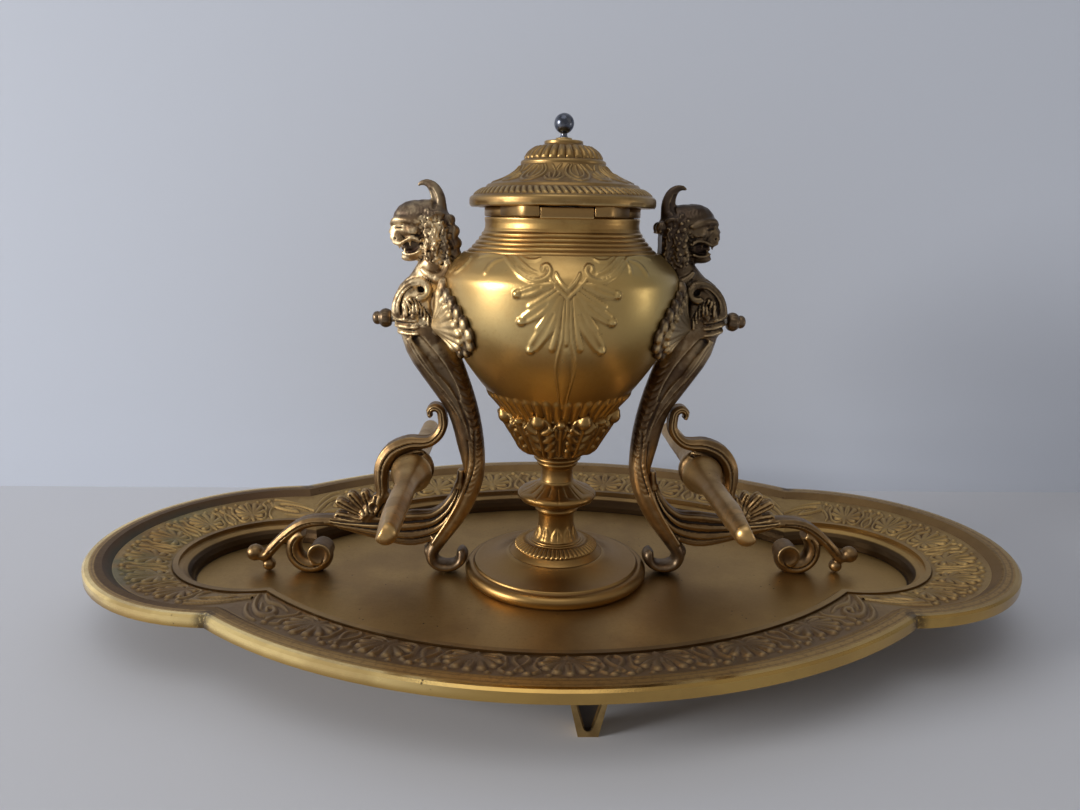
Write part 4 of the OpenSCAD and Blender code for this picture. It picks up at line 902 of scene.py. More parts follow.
def head_chasing():
    """Pupils, nostrils and folds of the face, the hair of the brow, crest and neck, and the mane."""
    lines = [ball(12.1, 114.6, 0.35, -0.4), ball(14.5, 110.5, 0.4, -0.8)]
    lines += strokes(
        ([(14.2, 113.9), (12.4, 113.6)], 0.4, -0.5),
        ([(13.6, 112.6), (12.4, 111.4), (11.6, 110.6)], 0.3, -0.25),
        ([(5.8, 112.6), (6.8, 111.6), (9.4, 111.6)], 0.4, -0.5),
        ([(2.4, 120), (2.3, 122.6), (3.4, 125.2)], 0.9, -0.7, (0.6, 0.6)))
    for k in range(9):
        out, high = 9.6 - 1.05 * k, 121.2 - 0.1 * (k - 3) ** 2
        lines.append(stroke([(out + 0.5, high - 0.4), (out - 0.1, high - 1.8), (out + 0.2, high - 3.2)],
                            0.22, -0.2, (0.5, 0.4)))
    for row in range(5):
        for k in range(8):
            out, high = 6 - 2.1 * row + 0.7 * (k % 2), 117.2 - 1.75 * k - 0.5 * row
            turns = np.array((0, 1.2, 2.4, 3.6)) + 1.3 * (8 * row + k)
            lines.append(stroke([(out + 0.72 * math.cos(a), high + 0.72 * math.sin(a)) for a in turns],
                                0.32, -0.42, (0.5, 0.4)))
            lines.append(ball(out, high, 0.55, 0.24))
    for k in range(5):
        out = -3.4 + 1.15 * k
        lines.append(stroke([(out + 1.6, 117.4 - 0.4 * k), (out, 114.6 - 0.3 * k), (out + 0.5, 111.4),
                             (out - 0.6, 108.2), (out + 0.3, 105)], 0.24, -0.36, (0.4, 0.4)))
    lines += [stroke([(1.4 + 0.5 * k, 121 + 0.8 * k), (2.2 + 0.4 * k, 122.2 + 0.8 * k)],
                     0.3, -0.3, (0.5, 0.5)) for k in range(5)]
    lines += [stroke([(2 + 0.75 * k, 100.6 - 0.2 * k), (3 + 0.7 * k, 97.4 - 0.4 * k)],
                     0.25, -0.25, (0.4, 0.4)) for k in range(6)]
    return lines


def griffin_finish():
    """Brown below and rubbed gold on the heads and shells, with more rubbed gold as painted highlight on
    the left griffin's upper half; the right head is darker.
    """
    f = aged_metal("brown patina of the griffins", (0.29, 0.185, 0.092), (0.12, 0.076, 0.046),
                   (0.022, 0.014, 0.01), (0.92, 0.72, 0.42), rough=0.34, blotch=9, pits=0,
                   recess=1, crest=0.85)
    high, deep = f.parts["high"], f.parts["deep"]
    # Painted highlight: more rubbed gold on the left griffin's upper half, the side towards the window
    bright = f.z.rise(84, 95) * f.x.rise(10, -10)
    worn = f.noise(4.5, 3, shift=(2, 8, 5)).rise(0.4, 0.58) * (bright * 0.68 + 0.3)
    drop = f.z - BELLY_Z
    stand = f.x.hypot(f.y) - (BELLY_R - drop * drop * 0.0114)
    flank = f.y.size().rise(6.6, 8.6) * f.z.within(84, 106, 1)
    petal = stand.within(2.2, 7, 0.35) * flank * (1 - deep)
    # Painted shade inside the open mouth
    mouth_shade = f.y.size().rise(2.6, 1.8) * f.z.within(115.8, 120, 0.4) * f.x.size().within(42, 50.2, 0.5)
    nape = f.x.size().rise(38.5, 36) * f.z.rise(112, 115)
    crest = f.z.rise(125.5, 128) * (1 - high * 0.7)
    shin = f.z.rise(72, 44) * f.z.rise(16, 32) * 0.62
    # Painted shade on the upper leg, under the breast
    shade_under_breast = f.z.within(56, 80, 6) * 0.65
    heel = f.z.rise(26, 18) * 0.7
    dark_head = f.x.rise(20, 40) * f.z.rise(84, 100) * 0.72
    colour = f.coats(
        f.parts["colour"],
        # Rubbed gold, with more of it as painted highlight on the left
        (worn * (1 - deep), (0.84, 0.66, 0.4)),
        (petal * 0.7, (0.66, 0.49, 0.25)),
        (stand.rise(2.1, 1.6) * flank * 0.85, (0.05, 0.032, 0.022)),
        # Painted shade in the mouth
        (mouth_shade * 0.85, (0.045, 0.022, 0.02)),
        (nape * 0.75 * (1 - high * 0.5), (0.085, 0.06, 0.048)),
        (crest * 0.72, (0.115, 0.085, 0.068)),
        (shin * (1 - deep), (0.44, 0.265, 0.105)),
        # Painted shade under the breast
        (shade_under_breast * (1 - high), (0.07, 0.043, 0.029)),
        (heel * (1 - high * 0.5), (0.08, 0.052, 0.037)),
        (dark_head, f.tint(high, (0.04, 0.027, 0.02), (0.34, 0.235, 0.12))))
    f.surface(Base_Color=colour,
              Roughness=0.36 + f.parts["fine"] * 0.1 + deep * 0.25 + bright * 0.09 - high * 0.05)
    return f.material


GRIFFIN_FINISH = griffin_finish()


def carved(mesh, rise):
    """The places of a casting's points once rise has chased the faces that look to the side."""
    n = normals_of(mesh)
    flat = np.clip((np.abs(n[:, 1]) - 0.15) / 0.35, 0, 1)
    return points_of(mesh) + n * (rise * flat)[:, None]


def casting(name, node, side, mesh, co, finish, slot, depth):
    """Puts a fused casting, its points at co, on its side of the urn."""
    move_points(mesh, co * (side, 1, 1))
    if side < 0:
        mesh.flip_normals()
    mark_wear(finished(name, mesh, finish, "stand", slot, node), depth, 12)


def griffin(name, node, side, lean):
    bm = bmesh.new()
    for build in (griffin_bust, griffin_face, griffin_curls, griffin_eyes, griffin_locks, griffin_wings):
        build(bm)
    lean_back(bm, lean)
    griffin_leg(bm)
    shell_fan(bm)
    mesh = fused(name, bm, 3)
    co = points_of(mesh)
    a = math.radians(lean)
    x, z = co[:, 0] - BELLY_R - STUD_U, co[:, 2] - STUD_Z
    bust_u = x * math.cos(a) + z * math.sin(a) + STUD_U
    bust_h = z * math.cos(a) - x * math.sin(a) + STUD_H
    leg_h = co[:, 2] - FLOOR_Z
    near_urn = np.hypot(co[:, 0], co[:, 1]) < urn_radius(co[:, 2]) + FAN_STAND
    on_fan = near_urn & (np.abs(co[:, 1]) > FAN_IN)
    bust = relief(bust_u, bust_h, breast_chasing() + head_chasing()) * (bust_h > BUST_LOW)
    leg = relief(co[:, 0] - BELLY_R, leg_h, leg_chasing()) * (leg_h < LEG_TOP)
    co = clear_of_urn(carved(mesh, (bust + leg) * ~on_fan))
    casting(name, node, side, mesh, co, GRIFFIN_FINISH, "dark_bronze", 0.42)


griffin("casting_left", "griffin_left", -1, 0)
griffin("casting_right", "griffin_right", 1, 8.5)

# ---- Tails and pen rests ----------------------------------------------------------------------
# Each tail is one casting: a ribbon over the boss of the pen rest, four ridges that sweep up to the
# leg, a small palmette, a ring-shaped scroll and a tip with two balls. The rests are turned rods.

BAR_X, BAR_Z = BELLY_R + 10.8, 45.6
RING_U, RING_H = 45, 8.2
DISC_U, DISC_H, DISC_R = 42, 7, 3.8
PETAL_U, PETAL_H = 24, 18
PETALS = ((10, 13, 1.2), (31, 14.2, 1.3), (52, 12.8, 1.25), (74, 11.2, 1.15), (97, 9.6, 1.05),
          (121, 8.2, 0.9))
# Stations of the ribbon and of the sweep: distance out, height, half width and half thickness
RIBBON = [
    (4.6, 53.8, 0.9, 2.6), (5, 55.8, 1, 3), (3.4, 57.3, 1.2, 3.4), (1.3, 56.3, 1.3, 3.4),
    (0.7, 53.6, 1.3, 3.4), (0.7, 50.8, 1.3, 3.4), (2.1, 48, 1.4, 3.4), (4.6, 45.9, 1.5, 3.4),
    (7.6, 45.2, 1.8, 3.4), (11.8, 45, 2.3, 3.4), (17.2, 42.5, 2.6, 3.4), (20.4, 37.7, 2.6, 3.4),
    (21.1, 32.5, 2.3, 3.4), (21, 27.6, 1.8, 3.4), (23.5, 22, 1.7, 3.2), (26, 18.4, 1.8, 3)]
SWEEP = [
    (-5.2, 36, 1.2, 2.2), (-4.8, 31.4, 1.5, 2.6), (-3.4, 26.4, 2, 3), (-0.4, 21.2, 3.2, 3.4),
    (4, 17.4, 4.8, 3.4), (11, 15.8, 6, 3.4), (18, 15.8, 4.9, 3.4), (25, 16.4, 3.5, 3.4),
    (33, 17.4, 2.2, 3.4), (40, 18.2, 1.7, 3.4), (47, 17.2, 1.7, 3.4), (53, 13.2, 1.7, 3.2),
    (58.2, 8, 1.8, 2.8), (60.6, 5, 1.7, 2.4)]


def beside(line, share):
    """A line along a scroll, off its middle by a share of the half width, and the scroll's stations."""
    p = smooth_line(line, 3)
    way = np.gradient(p[:, :2], axis=0)
    way /= np.hypot(way[:, 0], way[:, 1])[:, None]
    return p[:, :2] + np.column_stack([-way[:, 1], way[:, 0]]) * (p[:, 2] * share)[:, None], p


def ridge(bm, line, share, wide, first, last):
    """A round ridge on both faces of a scroll, as far from its middle as share says."""
    run, p = beside(line, share)
    run = run[first:last]
    depth = p[first:last, 3] * math.sqrt(1 - min(share * share, 0.8)) * 0.86
    swell = np.sin(np.linspace(0.35, math.pi - 0.3, len(run))) ** 0.5
    both_sides(tube, bm, [(u, h, wide * k, wide * 1.15 * k, y)
                          for (u, h), y, k in zip(run, depth, swell)], 8)


def ring_line():
    """A round scroll that grows from the tail's underside and curls into its own flat disc."""
    rows = []
    for t in np.linspace(0, 1, 28):
        a, r = math.radians(66 - 262 * t), 6.2 - 0.5 * t - 1.9 * max(t - 0.75, 0) / 0.25
        rows.append((RING_U + r * math.cos(a), RING_H + r * math.sin(a), 1.6 + 1.35 * math.sin(
            math.pi * t) ** 0.6, 3.4))
    return rows


def petal_point(turn, reach):
    """A place of the palmette, at a turn in degrees and a reach from its heart."""
    return (PETAL_U + reach * math.cos(math.radians(turn)),
            PETAL_H + reach * math.sin(math.radians(turn)))


def tail_forms(bm):
    smooth_tube(bm, RIBBON, 16)
    for share in (-0.78, 0.78):
        ridge(bm, RIBBON, share, 0.62, 3, -4)
    egg(bm, BAR_X - BELLY_R, BAR_Z - FLOOR_Z + 0.7, 7.2, 7.2, 3.2, 0, sides=28)
    smooth_tube(bm, SWEEP, 18)
    for share in (-0.86, -0.36, 0.2, 0.74):
        ridge(bm, SWEEP, share, 0.95, 3, 26)
    for share in (-0.7, 0.7):
        ridge(bm, SWEEP, share, 0.55, 26, -2)
    tube(bm, ring_line(), 18)
    bmesh.ops.create_cone(bm, cap_ends=True, segments=32, radius1=DISC_R, radius2=DISC_R, depth=7.6,
                          matrix=Matrix.Translation((BELLY_R + DISC_U, 0, FLOOR_Z + DISC_H)) @
                          Matrix.Rotation(math.pi / 2, 4, "X"))
    egg(bm, 64, 6.4, 2.9, 2.9, 2.9)
    egg(bm, 59.6, 2.3, 2.2, 2.2, 2.3)
    smooth_tube(bm, [(57.6, 8.6, 1.5, 2.8), (60.4, 5.6, 1.9, 2.6), (62.6, 5.6, 1.8, 2.4)], 12)
    tube(bm, [(BAR_X - BELLY_R + 7.4, 27.6, 1.6, 2.4), (21.6, 25.6, 2.6, 3.2), (24.4, 22.8, 2.8, 3.4),
              (27.6, 19.6, 2.2, 3.2)], 12)
    for turn, reach, wide in PETALS:
        for part in (-1, 1):
            tube(bm, [(*petal_point(turn, reach * s), wide * w, t, part * y) for s, w, t, y in (
                (0.05, 0.5, 1.3, 0.4), (0.4, 0.85, 1.4, 0.6), (0.75, 1.25, 1.5, 0.9),
                (0.93, 1.2, 1.3, 1.1), (1, 0.6, 0.8, 1.2))], 10)


def tail_chasing():
    lines = [stroke(beside(SWEEP, share)[0][4:27], 0.45, -0.8, (0.6, 0.5), steps=1)
             for share in (-0.62, -0.08, 0.47)]
    lines += [stroke(beside(SWEEP, 0)[0][27:-2], 0.34, -0.55, (0.6, 0.5), steps=1),
              stroke(beside(RIBBON, 0)[0][2:-6], 0.5, -0.75, (0.5, 0.5), steps=1),
              stroke(beside(RIBBON, -1.9)[0][24:38], 1.2, -1.3, (0.5, 0.5), steps=1)]
    lines += [stroke([petal_point(turn, reach * s) for s in (0.3, 0.6, 0.92)], 0.5, -0.7, (0.5, 0.9))
              for turn, reach, _ in PETALS]
    lines += [stroke([p[:2] for p in ring_line()[2:24]], 0.45, -0.7, (0.5, 0.5), steps=1),
              ball(23.6, 23.4, 1.6, -1.2), ball(DISC_U, DISC_H, 2.6, -0.6)]
    return lines


TAIL_FINISH = aged_metal("worn bronze of the tails", (0.25, 0.152, 0.066), (0.12, 0.075, 0.041),
                         (0.026, 0.016, 0.011), (0.8, 0.57, 0.28), rough=0.34, blotch=9, pits=0,
                         recess=1, crest=0.8, dull=0.05).material


def tail(name, node, side):
    bm = bmesh.new()
    tail_forms(bm)
    mesh = fused(name, bm, 2)
    co = points_of(mesh)
    co = carved(mesh, relief(co[:, 0] - BELLY_R, co[:, 2] - FLOOR_Z, tail_chasing()))
    co[:, 2] = np.maximum(co[:, 2], FLOOR_Z + 0.02)
    casting(name, node, side, mesh, co, TAIL_FINISH, "bronze_tail", 0.38)


tail("tail_casting_left", "tail_left", -1)
tail("tail_casting_right", "tail_right", 1)


def rod_finish(name, gold, brown):
    f = aged_metal(name, gold, brown, SOOT, (0.8, 0.58, 0.28), rough=0.31, blotch=13, pits=0.6)
    ends = f.y.rise(-41, -45) * f.noise(3.2, 2).rise(0.42, 0.58)
    f.surface(Base_Color=f.tint(ends * 0.7, f.parts["colour"], (0.6, 0.37, 0.145)))
    return f.material


BAR_R, BAR_HALF, BAR_SEAT = 3.35, 59, 2.9
collar = [(6.3, 0), (6.6, 0.6), (6.4, 1.6), (5.8, 3.2), (5.1, 5.2), (4.5, 7.6), (3.95, 10.2), (3.55, 13.2),
          (BAR_R, 16)]
CUT_Y, CUT = -73, (-0.87, -0.1, 0.48)
cap = [(BAR_R * math.sin(a), 2.6 - 2.6 * math.cos(a)) for a in np.radians(range(0, 91, 10))]
half_bar = [(r, BAR_HALF - y) for r, y in cap] + [
    (r, BAR_SEAT + y) for r, y in reversed(smooth_line(collar, 4))] + [(BAR_R, BAR_SEAT - 0.2)]
bar_line = closer([(r, -y) for r, y in half_bar] + half_bar[::-1], 0.9)
ROD_FINISH = rod_finish("worn gilding of the pen rests", (0.5, 0.325, 0.135), (0.33, 0.205, 0.085))
for word, side in (("left", -1), ("right", 1)):
    bar = new_piece("pen_rest_" + word, spun(bar_line, 72, bored=False), ROD_FINISH, "stand",
                    "gilt_bar", "pen_bar_" + word)
    co = points_of(bar.data)
    worn = 1 + 0.012 * np.sin(co[:, 2] * 0.31 + side) + 0.01 * np.sin(co[:, 2] * 0.83 + 2 * side)
    co = np.column_stack([co[:, 0] * worn, -co[:, 2], co[:, 1] * worn])
    taper = 1 - 0.05 * np.clip((np.abs(co[:, 1]) - 38) / 20, 0, 1)
    co[:, 0], co[:, 2] = co[:, 0] * taper, co[:, 2] * taper
    slant = np.array(CUT) * (-side, 1, 1)
    over = np.clip((co - (0, CUT_Y, 0)) @ slant, 0, None) * (co[:, 1] < 0)
    co -= np.outer(over * 0.92, slant)
    move_points(bar.data, co + (side * BAR_X, 0, BAR_Z))
    mark_wear(bar, 0.5, 10)

# ---- Breast knobs and their studs --------------------------------------------------------------
# Dark turned nuts with a rounded nub, screwed on the studs that hold each griffin to the urn.

KNOB_X = BELLY_R + 16.4
knob_finish = aged_metal("dark patina of the knobs", (0.2, 0.14, 0.085), (0.09, 0.062, 0.042),
                         (0.02, 0.014, 0.01), (0.52, 0.38, 0.2), rough=0.33, blotch=6,
                         pits=0.3, crest=0.7).material
knob_line = smooth_line([(0, 0), (1.6, 0.02), (2.3, 0.3), (2.75, 0.9), (2.95, 1.9), (2.8, 2.9),
                         (2.25, 3.6), (2, 4), (2.1, 4.5), (1.85, 5.4), (1, 6), (0, 6.1)], 4)
for word, side in (("left", -1), ("right", 1)):
    knob = new_piece("knob_" + word, spun(knob_line, 64, bored=False), knob_finish, "stand",
                     "dark_knob", "breast_knob_" + word)
    co = points_of(knob.data)
    grip = 0.1 * np.cos(np.arctan2(co[:, 1], co[:, 0]) * 18) * np.exp(-((co[:, 2] - 1.9) / 0.7) ** 2)
    r = np.hypot(co[:, 0], co[:, 1])
    grow = 1 + grip / np.maximum(r, 0.5)
    turn = np.column_stack([co[:, 2], co[:, 0] * grow, co[:, 1] * grow])
    move_points(knob.data, turn * (side, side, 1) + (side * KNOB_X, 0, STUD_Z))
    mark_wear(knob, 0.35, 8)

# ---- Pedestal ---------------------------------------------------------------------------------
# Turned and chased pieces threaded on one rod: a low dome with a torus edge, a collar of beads, a
# stem that rises from leaves, a leafy knop, a stem with two rings and the leafy cup of the bowl.

PEDESTAL_FINISH = urn_finish("bright gilding of the pedestal", (0.4, 0.255, 0.095),
                             (0.25, 0.148, 0.054), (0.3, 0.172, 0.057), 0.9, 0.31)


def fade(v, low, high, soft):
    """1 between low and high, falling to 0 over soft outside them."""
    return np.clip((v - low) / soft + 1, 0, 1) * np.clip((high - v) / soft + 1, 0, 1)


dome_out = [(29.1, 0)]
dome_out += [(28.3 + 2.2 * math.cos(a), 2 + 2.2 * math.sin(a)) for a in np.radians(range(-60, 91, 10))]
dome_out += [(27.6, 4.15), (27.35, 4.5), (27.3, 4.9), (26.9, 5)]
dome_out += [(26.4 - 10.8 * t, 5 + 3 * t ** 2.3) for t in np.linspace(0, 1, 14)]
dome_in = [(15.2, 6.9), (ROD_R, 6.9), (ROD_R, 0), (6.5, 0), (6.5, 4.3), (15.1, 4.3), (21.5, 2.8),
           (26.5, 1.6), (26.5, 0)]
dome_shell = np.vstack([closer(dome_out, 0.5), dome_in]) + (0, FLOOR_Z)
dome = new_piece("foot_dome", spun(dome_shell, 256), PEDESTAL_FINISH, "stand", "gilt_urn",
                 "base_dome")
mark_wear(dome, 0.3, 12)

COLLAR_Z, STEM_Z, KNOP_Z = 16.9, 22.3, 34.4


def turned(name, node, line, drawn=None, steps=192):
    """A turned piece on the tie rod: its outer line, chased by drawn, and the bore for the rod."""
    line = closer(line, 0.35)
    shell = np.vstack([[(ROD_R, line[0][1])], line, [(ROD_R, line[-1][1])]])
    piece = new_piece(name, spun(shell, steps), PEDESTAL_FINISH, "stand", "gilt_urn", node)
    if drawn:
        chase(piece, line, drawn)
    mark_wear(piece, 0.28, 10)


def beads(angle, z, r):
    return round_top(share_of(angle, 54), 0.44) * 0.6 * fade(z, COLLAR_Z + 3.3, COLLAR_Z + 4.7, 0.35)


turned("bead_collar", "beaded_collar", smooth_line([
    (15, COLLAR_Z), (15.4, 17.3), (15.9, 17.62), (15.5, 18.02), (15, 18.5), (14.4, 19),
    (13.9, 19.4), (13.5, 19.75), (13.7, 20), (12.7, 20.75), (11.4, 21.4), (10, 21.9), (9.4, 22),
    (9.2, 22.25), (8.5, STEM_Z)], 4), beads, 432)


def stem_leaves(angle, z, r):
    u = share_of(angle, 10)
    leaf = round_top(u, 0.44) * fade(z, STEM_Z + 1.4, STEM_Z + 4.4 - 3 * (2 * u) ** 2, 0.8)
    return 0.4 * leaf - 0.2 * np.exp(-(u / 0.05) ** 2) * leaf


turned("stem_of_leaves", "lower_stem", smooth_line([
    (8.5, STEM_Z), (8.4, 22.6), (7.8, 22.9), (7.1, 23.6), (6.45, 24.8), (6, 27), (5.9, 29.4),
    (6.05, 31), (6.4, 32), (7, 32.6), (7.15, 33.2), (6.8, 33.9), (6.4, KNOP_Z)], 4),
    stem_leaves, 288)


def knop_leaves(angle, z, r):
    """Ten broad leaves that lie on the top of the knop and turn down at its rim."""
    u = share_of(angle, 10)
    upper = round_top(u, 0.48) * fade(z, KNOP_Z + 3.4, KNOP_Z + 7, 0.9) * 0.32
    lower = round_top(share_of(angle, 10, 0.5), 0.47) * fade(z, KNOP_Z + 2.6, KNOP_Z + 4.6, 0.7) * 0.4
    rib = np.exp(-(u / 0.04) ** 2) * 0.14 * fade(z, KNOP_Z + 4, KNOP_Z + 6.6, 1)
    return np.maximum(upper, lower) - rib


turned("knop_of_leaves", "knop", smooth_line([
    (6.4, KNOP_Z), (8.4, 34.8), (10.8, 35.8), (12.2, 37), (12.6, 38), (12.1, 38.8), (10.6, 39.5),
    (8.9, 40.3), (7.2, 41.3), (6, 42.2), (5.5, 42.9)], 4), knop_leaves, 320)
turned("ringed_stem", "upper_stem", [
    *smooth_line([(5.5, 42.9), (5.3, 43.8), (5.15, 45.2), (5.25, 47), (5.6, 47.9)], 4),
    *smooth_line([(5.6, 47.9), (6.4, 48.3), (6.8, 49), (6.45, 49.6), (6.3, 49.75)], 4)[1:],
    *smooth_line([(6.3, 49.75), (7.2, 49.95), (7.75, 50.6), (7.35, 51.3), (6.9, URN_FOOT)], 4)[1:]])


def cup_leaves(angle, z, r):
    """Eight acanthus leaves with side lobes and curled tips, and narrow leaves between them."""
    side, between = np.abs(folded(angle, r, 8, 0)), np.abs(folded(angle, r, 8, 0.5))
    lobes = [stroke([(0.4, 53.4 + 3 * k), (1.7 + 0.35 * k, 54.2 + 3 * k),
                     (2.8 + 0.5 * k, 56.2 + 2.9 * k)], 1.15, 1.15, (0.5, 0.95)) for k in range(4)]
    leaf = relief(side, z, lobes + [
        stroke([(0, 52.6), (0, 58), (0, 64.5)], 0.8, 1.3, (0.6, 0.9)), ball(0, 66.2, 2.3, 2.2)])
    small = relief(between, z, [
        stroke([(0, 53), (0, 58.5), (0, 64)], 0.8, 0.9, (0.4, 0.9)),
        stroke([(0.4, 60), (1.3, 62), (1.6, 64)], 0.6, 0.7, (0.5, 0.8)), ball(0, 65.8, 1.5, 1.4)])
    both = np.maximum(leaf, small)
    brim = np.maximum(68.6 - 0.22 * side ** 2, 66.9 - 0.45 * between ** 2)
    return np.where(z > 58, both - 3.6 * np.clip((z - brim) / 0.7, 0, 1), both)


cup_out = [(6.9, 0), (7.5, 0.25), (7.7, 0.7), *smooth_line([
    (7.5, 1.1), (8.8, 1.6), (12, 3.2), (13.9, 6.4), (17.4, 12.1), (19.2, 15.9), (19.4, 16.5)], 4)]
cup_in = bowl_outer[(bowl_outer[:, 1] < URN_FOOT + 16.3)] + (-0.05, 0)
cup_line = closer(cup_out, 0.36) + (0, URN_FOOT)
cup_shell = np.vstack([[(ROD_R, URN_FOOT)], cup_line, cup_in[::-1], [(ROD_R, URN_FOOT + 1.7)]])
cup = new_piece("leafy_cup", spun(cup_shell, 448), PEDESTAL_FINISH, "stand", "gilt_urn", "calyx")
chase(cup, cup_line, cup_leaves)
mark_wear(cup, 0.34, 12)

# ---- Neck -------------------------------------------------------------------------------------
# A turned ring with five fine reeds, warmer and browner than the bowl, and at the front the small
# block that is the middle of the lid's hinge.

NECK_R, NECK_TOP, PIN_Z = 24.05, 127.4, 128.6


def neck_finish():
    f = aged_metal("coppery gilding of the neck", (0.49, 0.31, 0.108), (0.33, 0.185, 0.062),
                   (0.09, 0.045, 0.018), (0.76, 0.53, 0.23), rough=0.29, blotch=17, pits=0.2,
                   recess=0.7, crest=0.6)
    hinge = f.z.rise(NECK_TOP - 0.2, NECK_TOP + 0.2) * 0.8
    f.surface(Base_Color=f.tint(hinge, f.parts["colour"], (0.3, 0.17, 0.062)))
    return f.material


REEDS, REEDS_H = 5, 6.2
neck_line = [(29.7, SHOULDER_Z)]
for k in range(REEDS):
    for a in np.radians(range(-80, 81, 20)):
        h = REEDS_H * (k + 0.5 + 0.46 * math.sin(a)) / REEDS
        neck_line.append((24.2 + 5 * (1 - h / REEDS_H) ** 1.3 + 0.5 * math.cos(a), SHOULDER_Z + h))
neck_line += [(NECK_R + 0.2, 123.5), (NECK_R - 0.1, 124.2), (NECK_R - 0.2, 125.6), (NECK_R, 127),
              (NECK_R - 0.2, NECK_TOP), (22.2, NECK_TOP), (22.2, 129.8), (22, 130), (20.6, 130),
              (20.4, 129.8)]


def slab(bm, plan, low, high):
    """A block of the hinge over a plan outline, with soft edges."""
    verts = [bm.verts.new((x, y, low)) for x, y in plan]
    grown = bmesh.ops.extrude_face_region(bm, geom=[bm.faces.new(verts)])["geom"]
    top = [v for v in grown if isinstance(v, bmesh.types.BMVert)]
    bmesh.ops.translate(bm, vec=(0, 0, high - low), verts=top)
    corners = {*verts, *top}
    rims = [e for e in bm.edges if e.is_valid and len(e.link_faces) == 2
            and corners & set(e.verts) and e.calc_face_angle(0) > 0.9]
    bmesh.ops.bevel(bm, geom=rims, offset=0.35, segments=3, profile=0.5, affect="EDGES", material=-1)


neck_bm = spun(np.vstack([closer(neck_line, 0.4), [(20.4, SHOULDER_Z)]]), 256)
BLOCK_HALF, BLOCK_FRONT, BLOCK_BACK = 7.55, -25.93, -21
slab(neck_bm, [(-BLOCK_HALF, BLOCK_FRONT), (BLOCK_HALF, BLOCK_FRONT), (BLOCK_HALF, BLOCK_BACK),
               (-BLOCK_HALF, BLOCK_BACK)], PIN_Z - 1.6, PIN_Z + 1.6)
neck = new_piece("neck_ring", neck_bm, neck_finish(), "stand", "gilt_urn", "neck")
mark_wear(neck, 0.3, 10)

# ---- Lid and finial ---------------------------------------------------------------------------
# A domed lid, chased with gadroons, leaves and a rope band, with a skirt that shuts over the neck
# and two tapered wings at the front, the outer parts of its hinge. A blued steel ball tops it.

SKIRT_IN, WING_IN = 22.65, 7.75


def lid_finish():
    f = aged_metal("chased gilding of the lid", (0.34, 0.215, 0.082), (0.22, 0.13, 0.05),
                   (0.055, 0.031, 0.014), (0.74, 0.53, 0.23), rough=0.31, blotch=15, pits=0.2,
                   recess=0.9, crest=0.7)
    skirt = f.z.rise(131, 130.4) * 0.8
    f.surface(Base_Color=f.tint(skirt, f.parts["colour"], (0.29, 0.165, 0.062)))
    return f.material


def lid_ornament(angle, z, r):
    u = share_of(angle, 28)
    gadroon = round_top(u, 0.46) * fade(z, 145, 148.1, 0.7) * 0.75
    gadroon -= fade(z, 144.8, 148.6, 0.4) * 0.25
    tall = np.abs(folded(angle, r, 8, 0.25))
    taper = (0.8, 0.7)
    leaf = strokes(
        ([(0.2, 137.7), (2.2, 138.2), (3.3, 139.3), (3, 140.9), (1.8, 142.4)], 0.42, 0.45, taper),
        ([(0.2, 138.6), (1.3, 139), (1.9, 139.9), (1.7, 141.3), (0.9, 142.4)], 0.34, 0.4, taper),
        ([(0, 138.9), (0, 140.4), (0, 142)], 0.5, 0.4, (0.5, 0.8)))
    bud = np.abs(folded(angle, r, 8, 0.75))
    palm = strokes(([(0, 137.8), (0, 139), (0, 140.2)], 0.5, 0.5, (0.6, 0.9)),
                   ([(0.3, 137.9), (1.2, 138.6), (1.5, 139.7)], 0.4, 0.45, (0.6, 0.9)),
                   ([(0.5, 137.8), (2, 138.1), (2.7, 138.8)], 0.36, 0.4, (0.6, 0.9)),
                   ([(0.4, 141), (0.9, 141.8), (1.4, 142.5)], 0.36, 0.35, (0.6, 0.7)))
    hollow = np.maximum(relief(tall, z, leaf), relief(bud, z, palm))
    slant = share_of(angle + (z - 135) * 0.028, 84)
    rope = (round_top(slant, 0.44) * 0.6 - 0.2) * fade(z, 134.2, 135.7, 0.35)
    dents = -0.28 * fade(z, 130.2, 131.4, 0.5) * np.clip(
        np.sin(angle * 7 + 0.6) + 0.7 * np.sin(angle * 17 + 2), 0, 1)
    return gadroon + hollow + rope + dents


lid_line = closer([
    (28.1, 130.4), (28.5, 130.7), (28.7, 131.3), (28.7, 132.6), (28.5, 133.2), (28.1, 133.6),
    *closer([(27.6, 133.8), (25.8, 135.15), (23.9, 136.2)], 0.3),
    (23.6, 136.6), (23.4, 136.9), (23, 137.2),
    *smooth_line([(22.6, 137.25), (18.3, 138.9), (15, 140.85), (13.2, 142.8)]),
    (13, 143.2), (13.1, 143.6), (12.9, 144.1), (12.5, 144.35),
    *smooth_line([(11.9, 144.5), (10.7, 146.5), (8.5, 148.1), (6.4, 149)]),
    (5.95, 149.15), (5.9, 149.3), (5.9, 150), (5.7, 150.2), (3, 150.2), (2.6, 150.45),
    (2.5, 150.95), (2.3, 151.1)], 0.34)
lid_in = [(0.98, 151.1), (0.98, 147), (4.5, 146.9), (8.6, 144.9), (10.9, 142.4), (13.4, 139.7),
          (17, 137.2), (21.4, 135.4), (22.2, 134.6), (SKIRT_IN, 132.6), (SKIRT_IN, 130.4)]
lid_bm = spun(np.vstack([lid_line, lid_in]), 504)


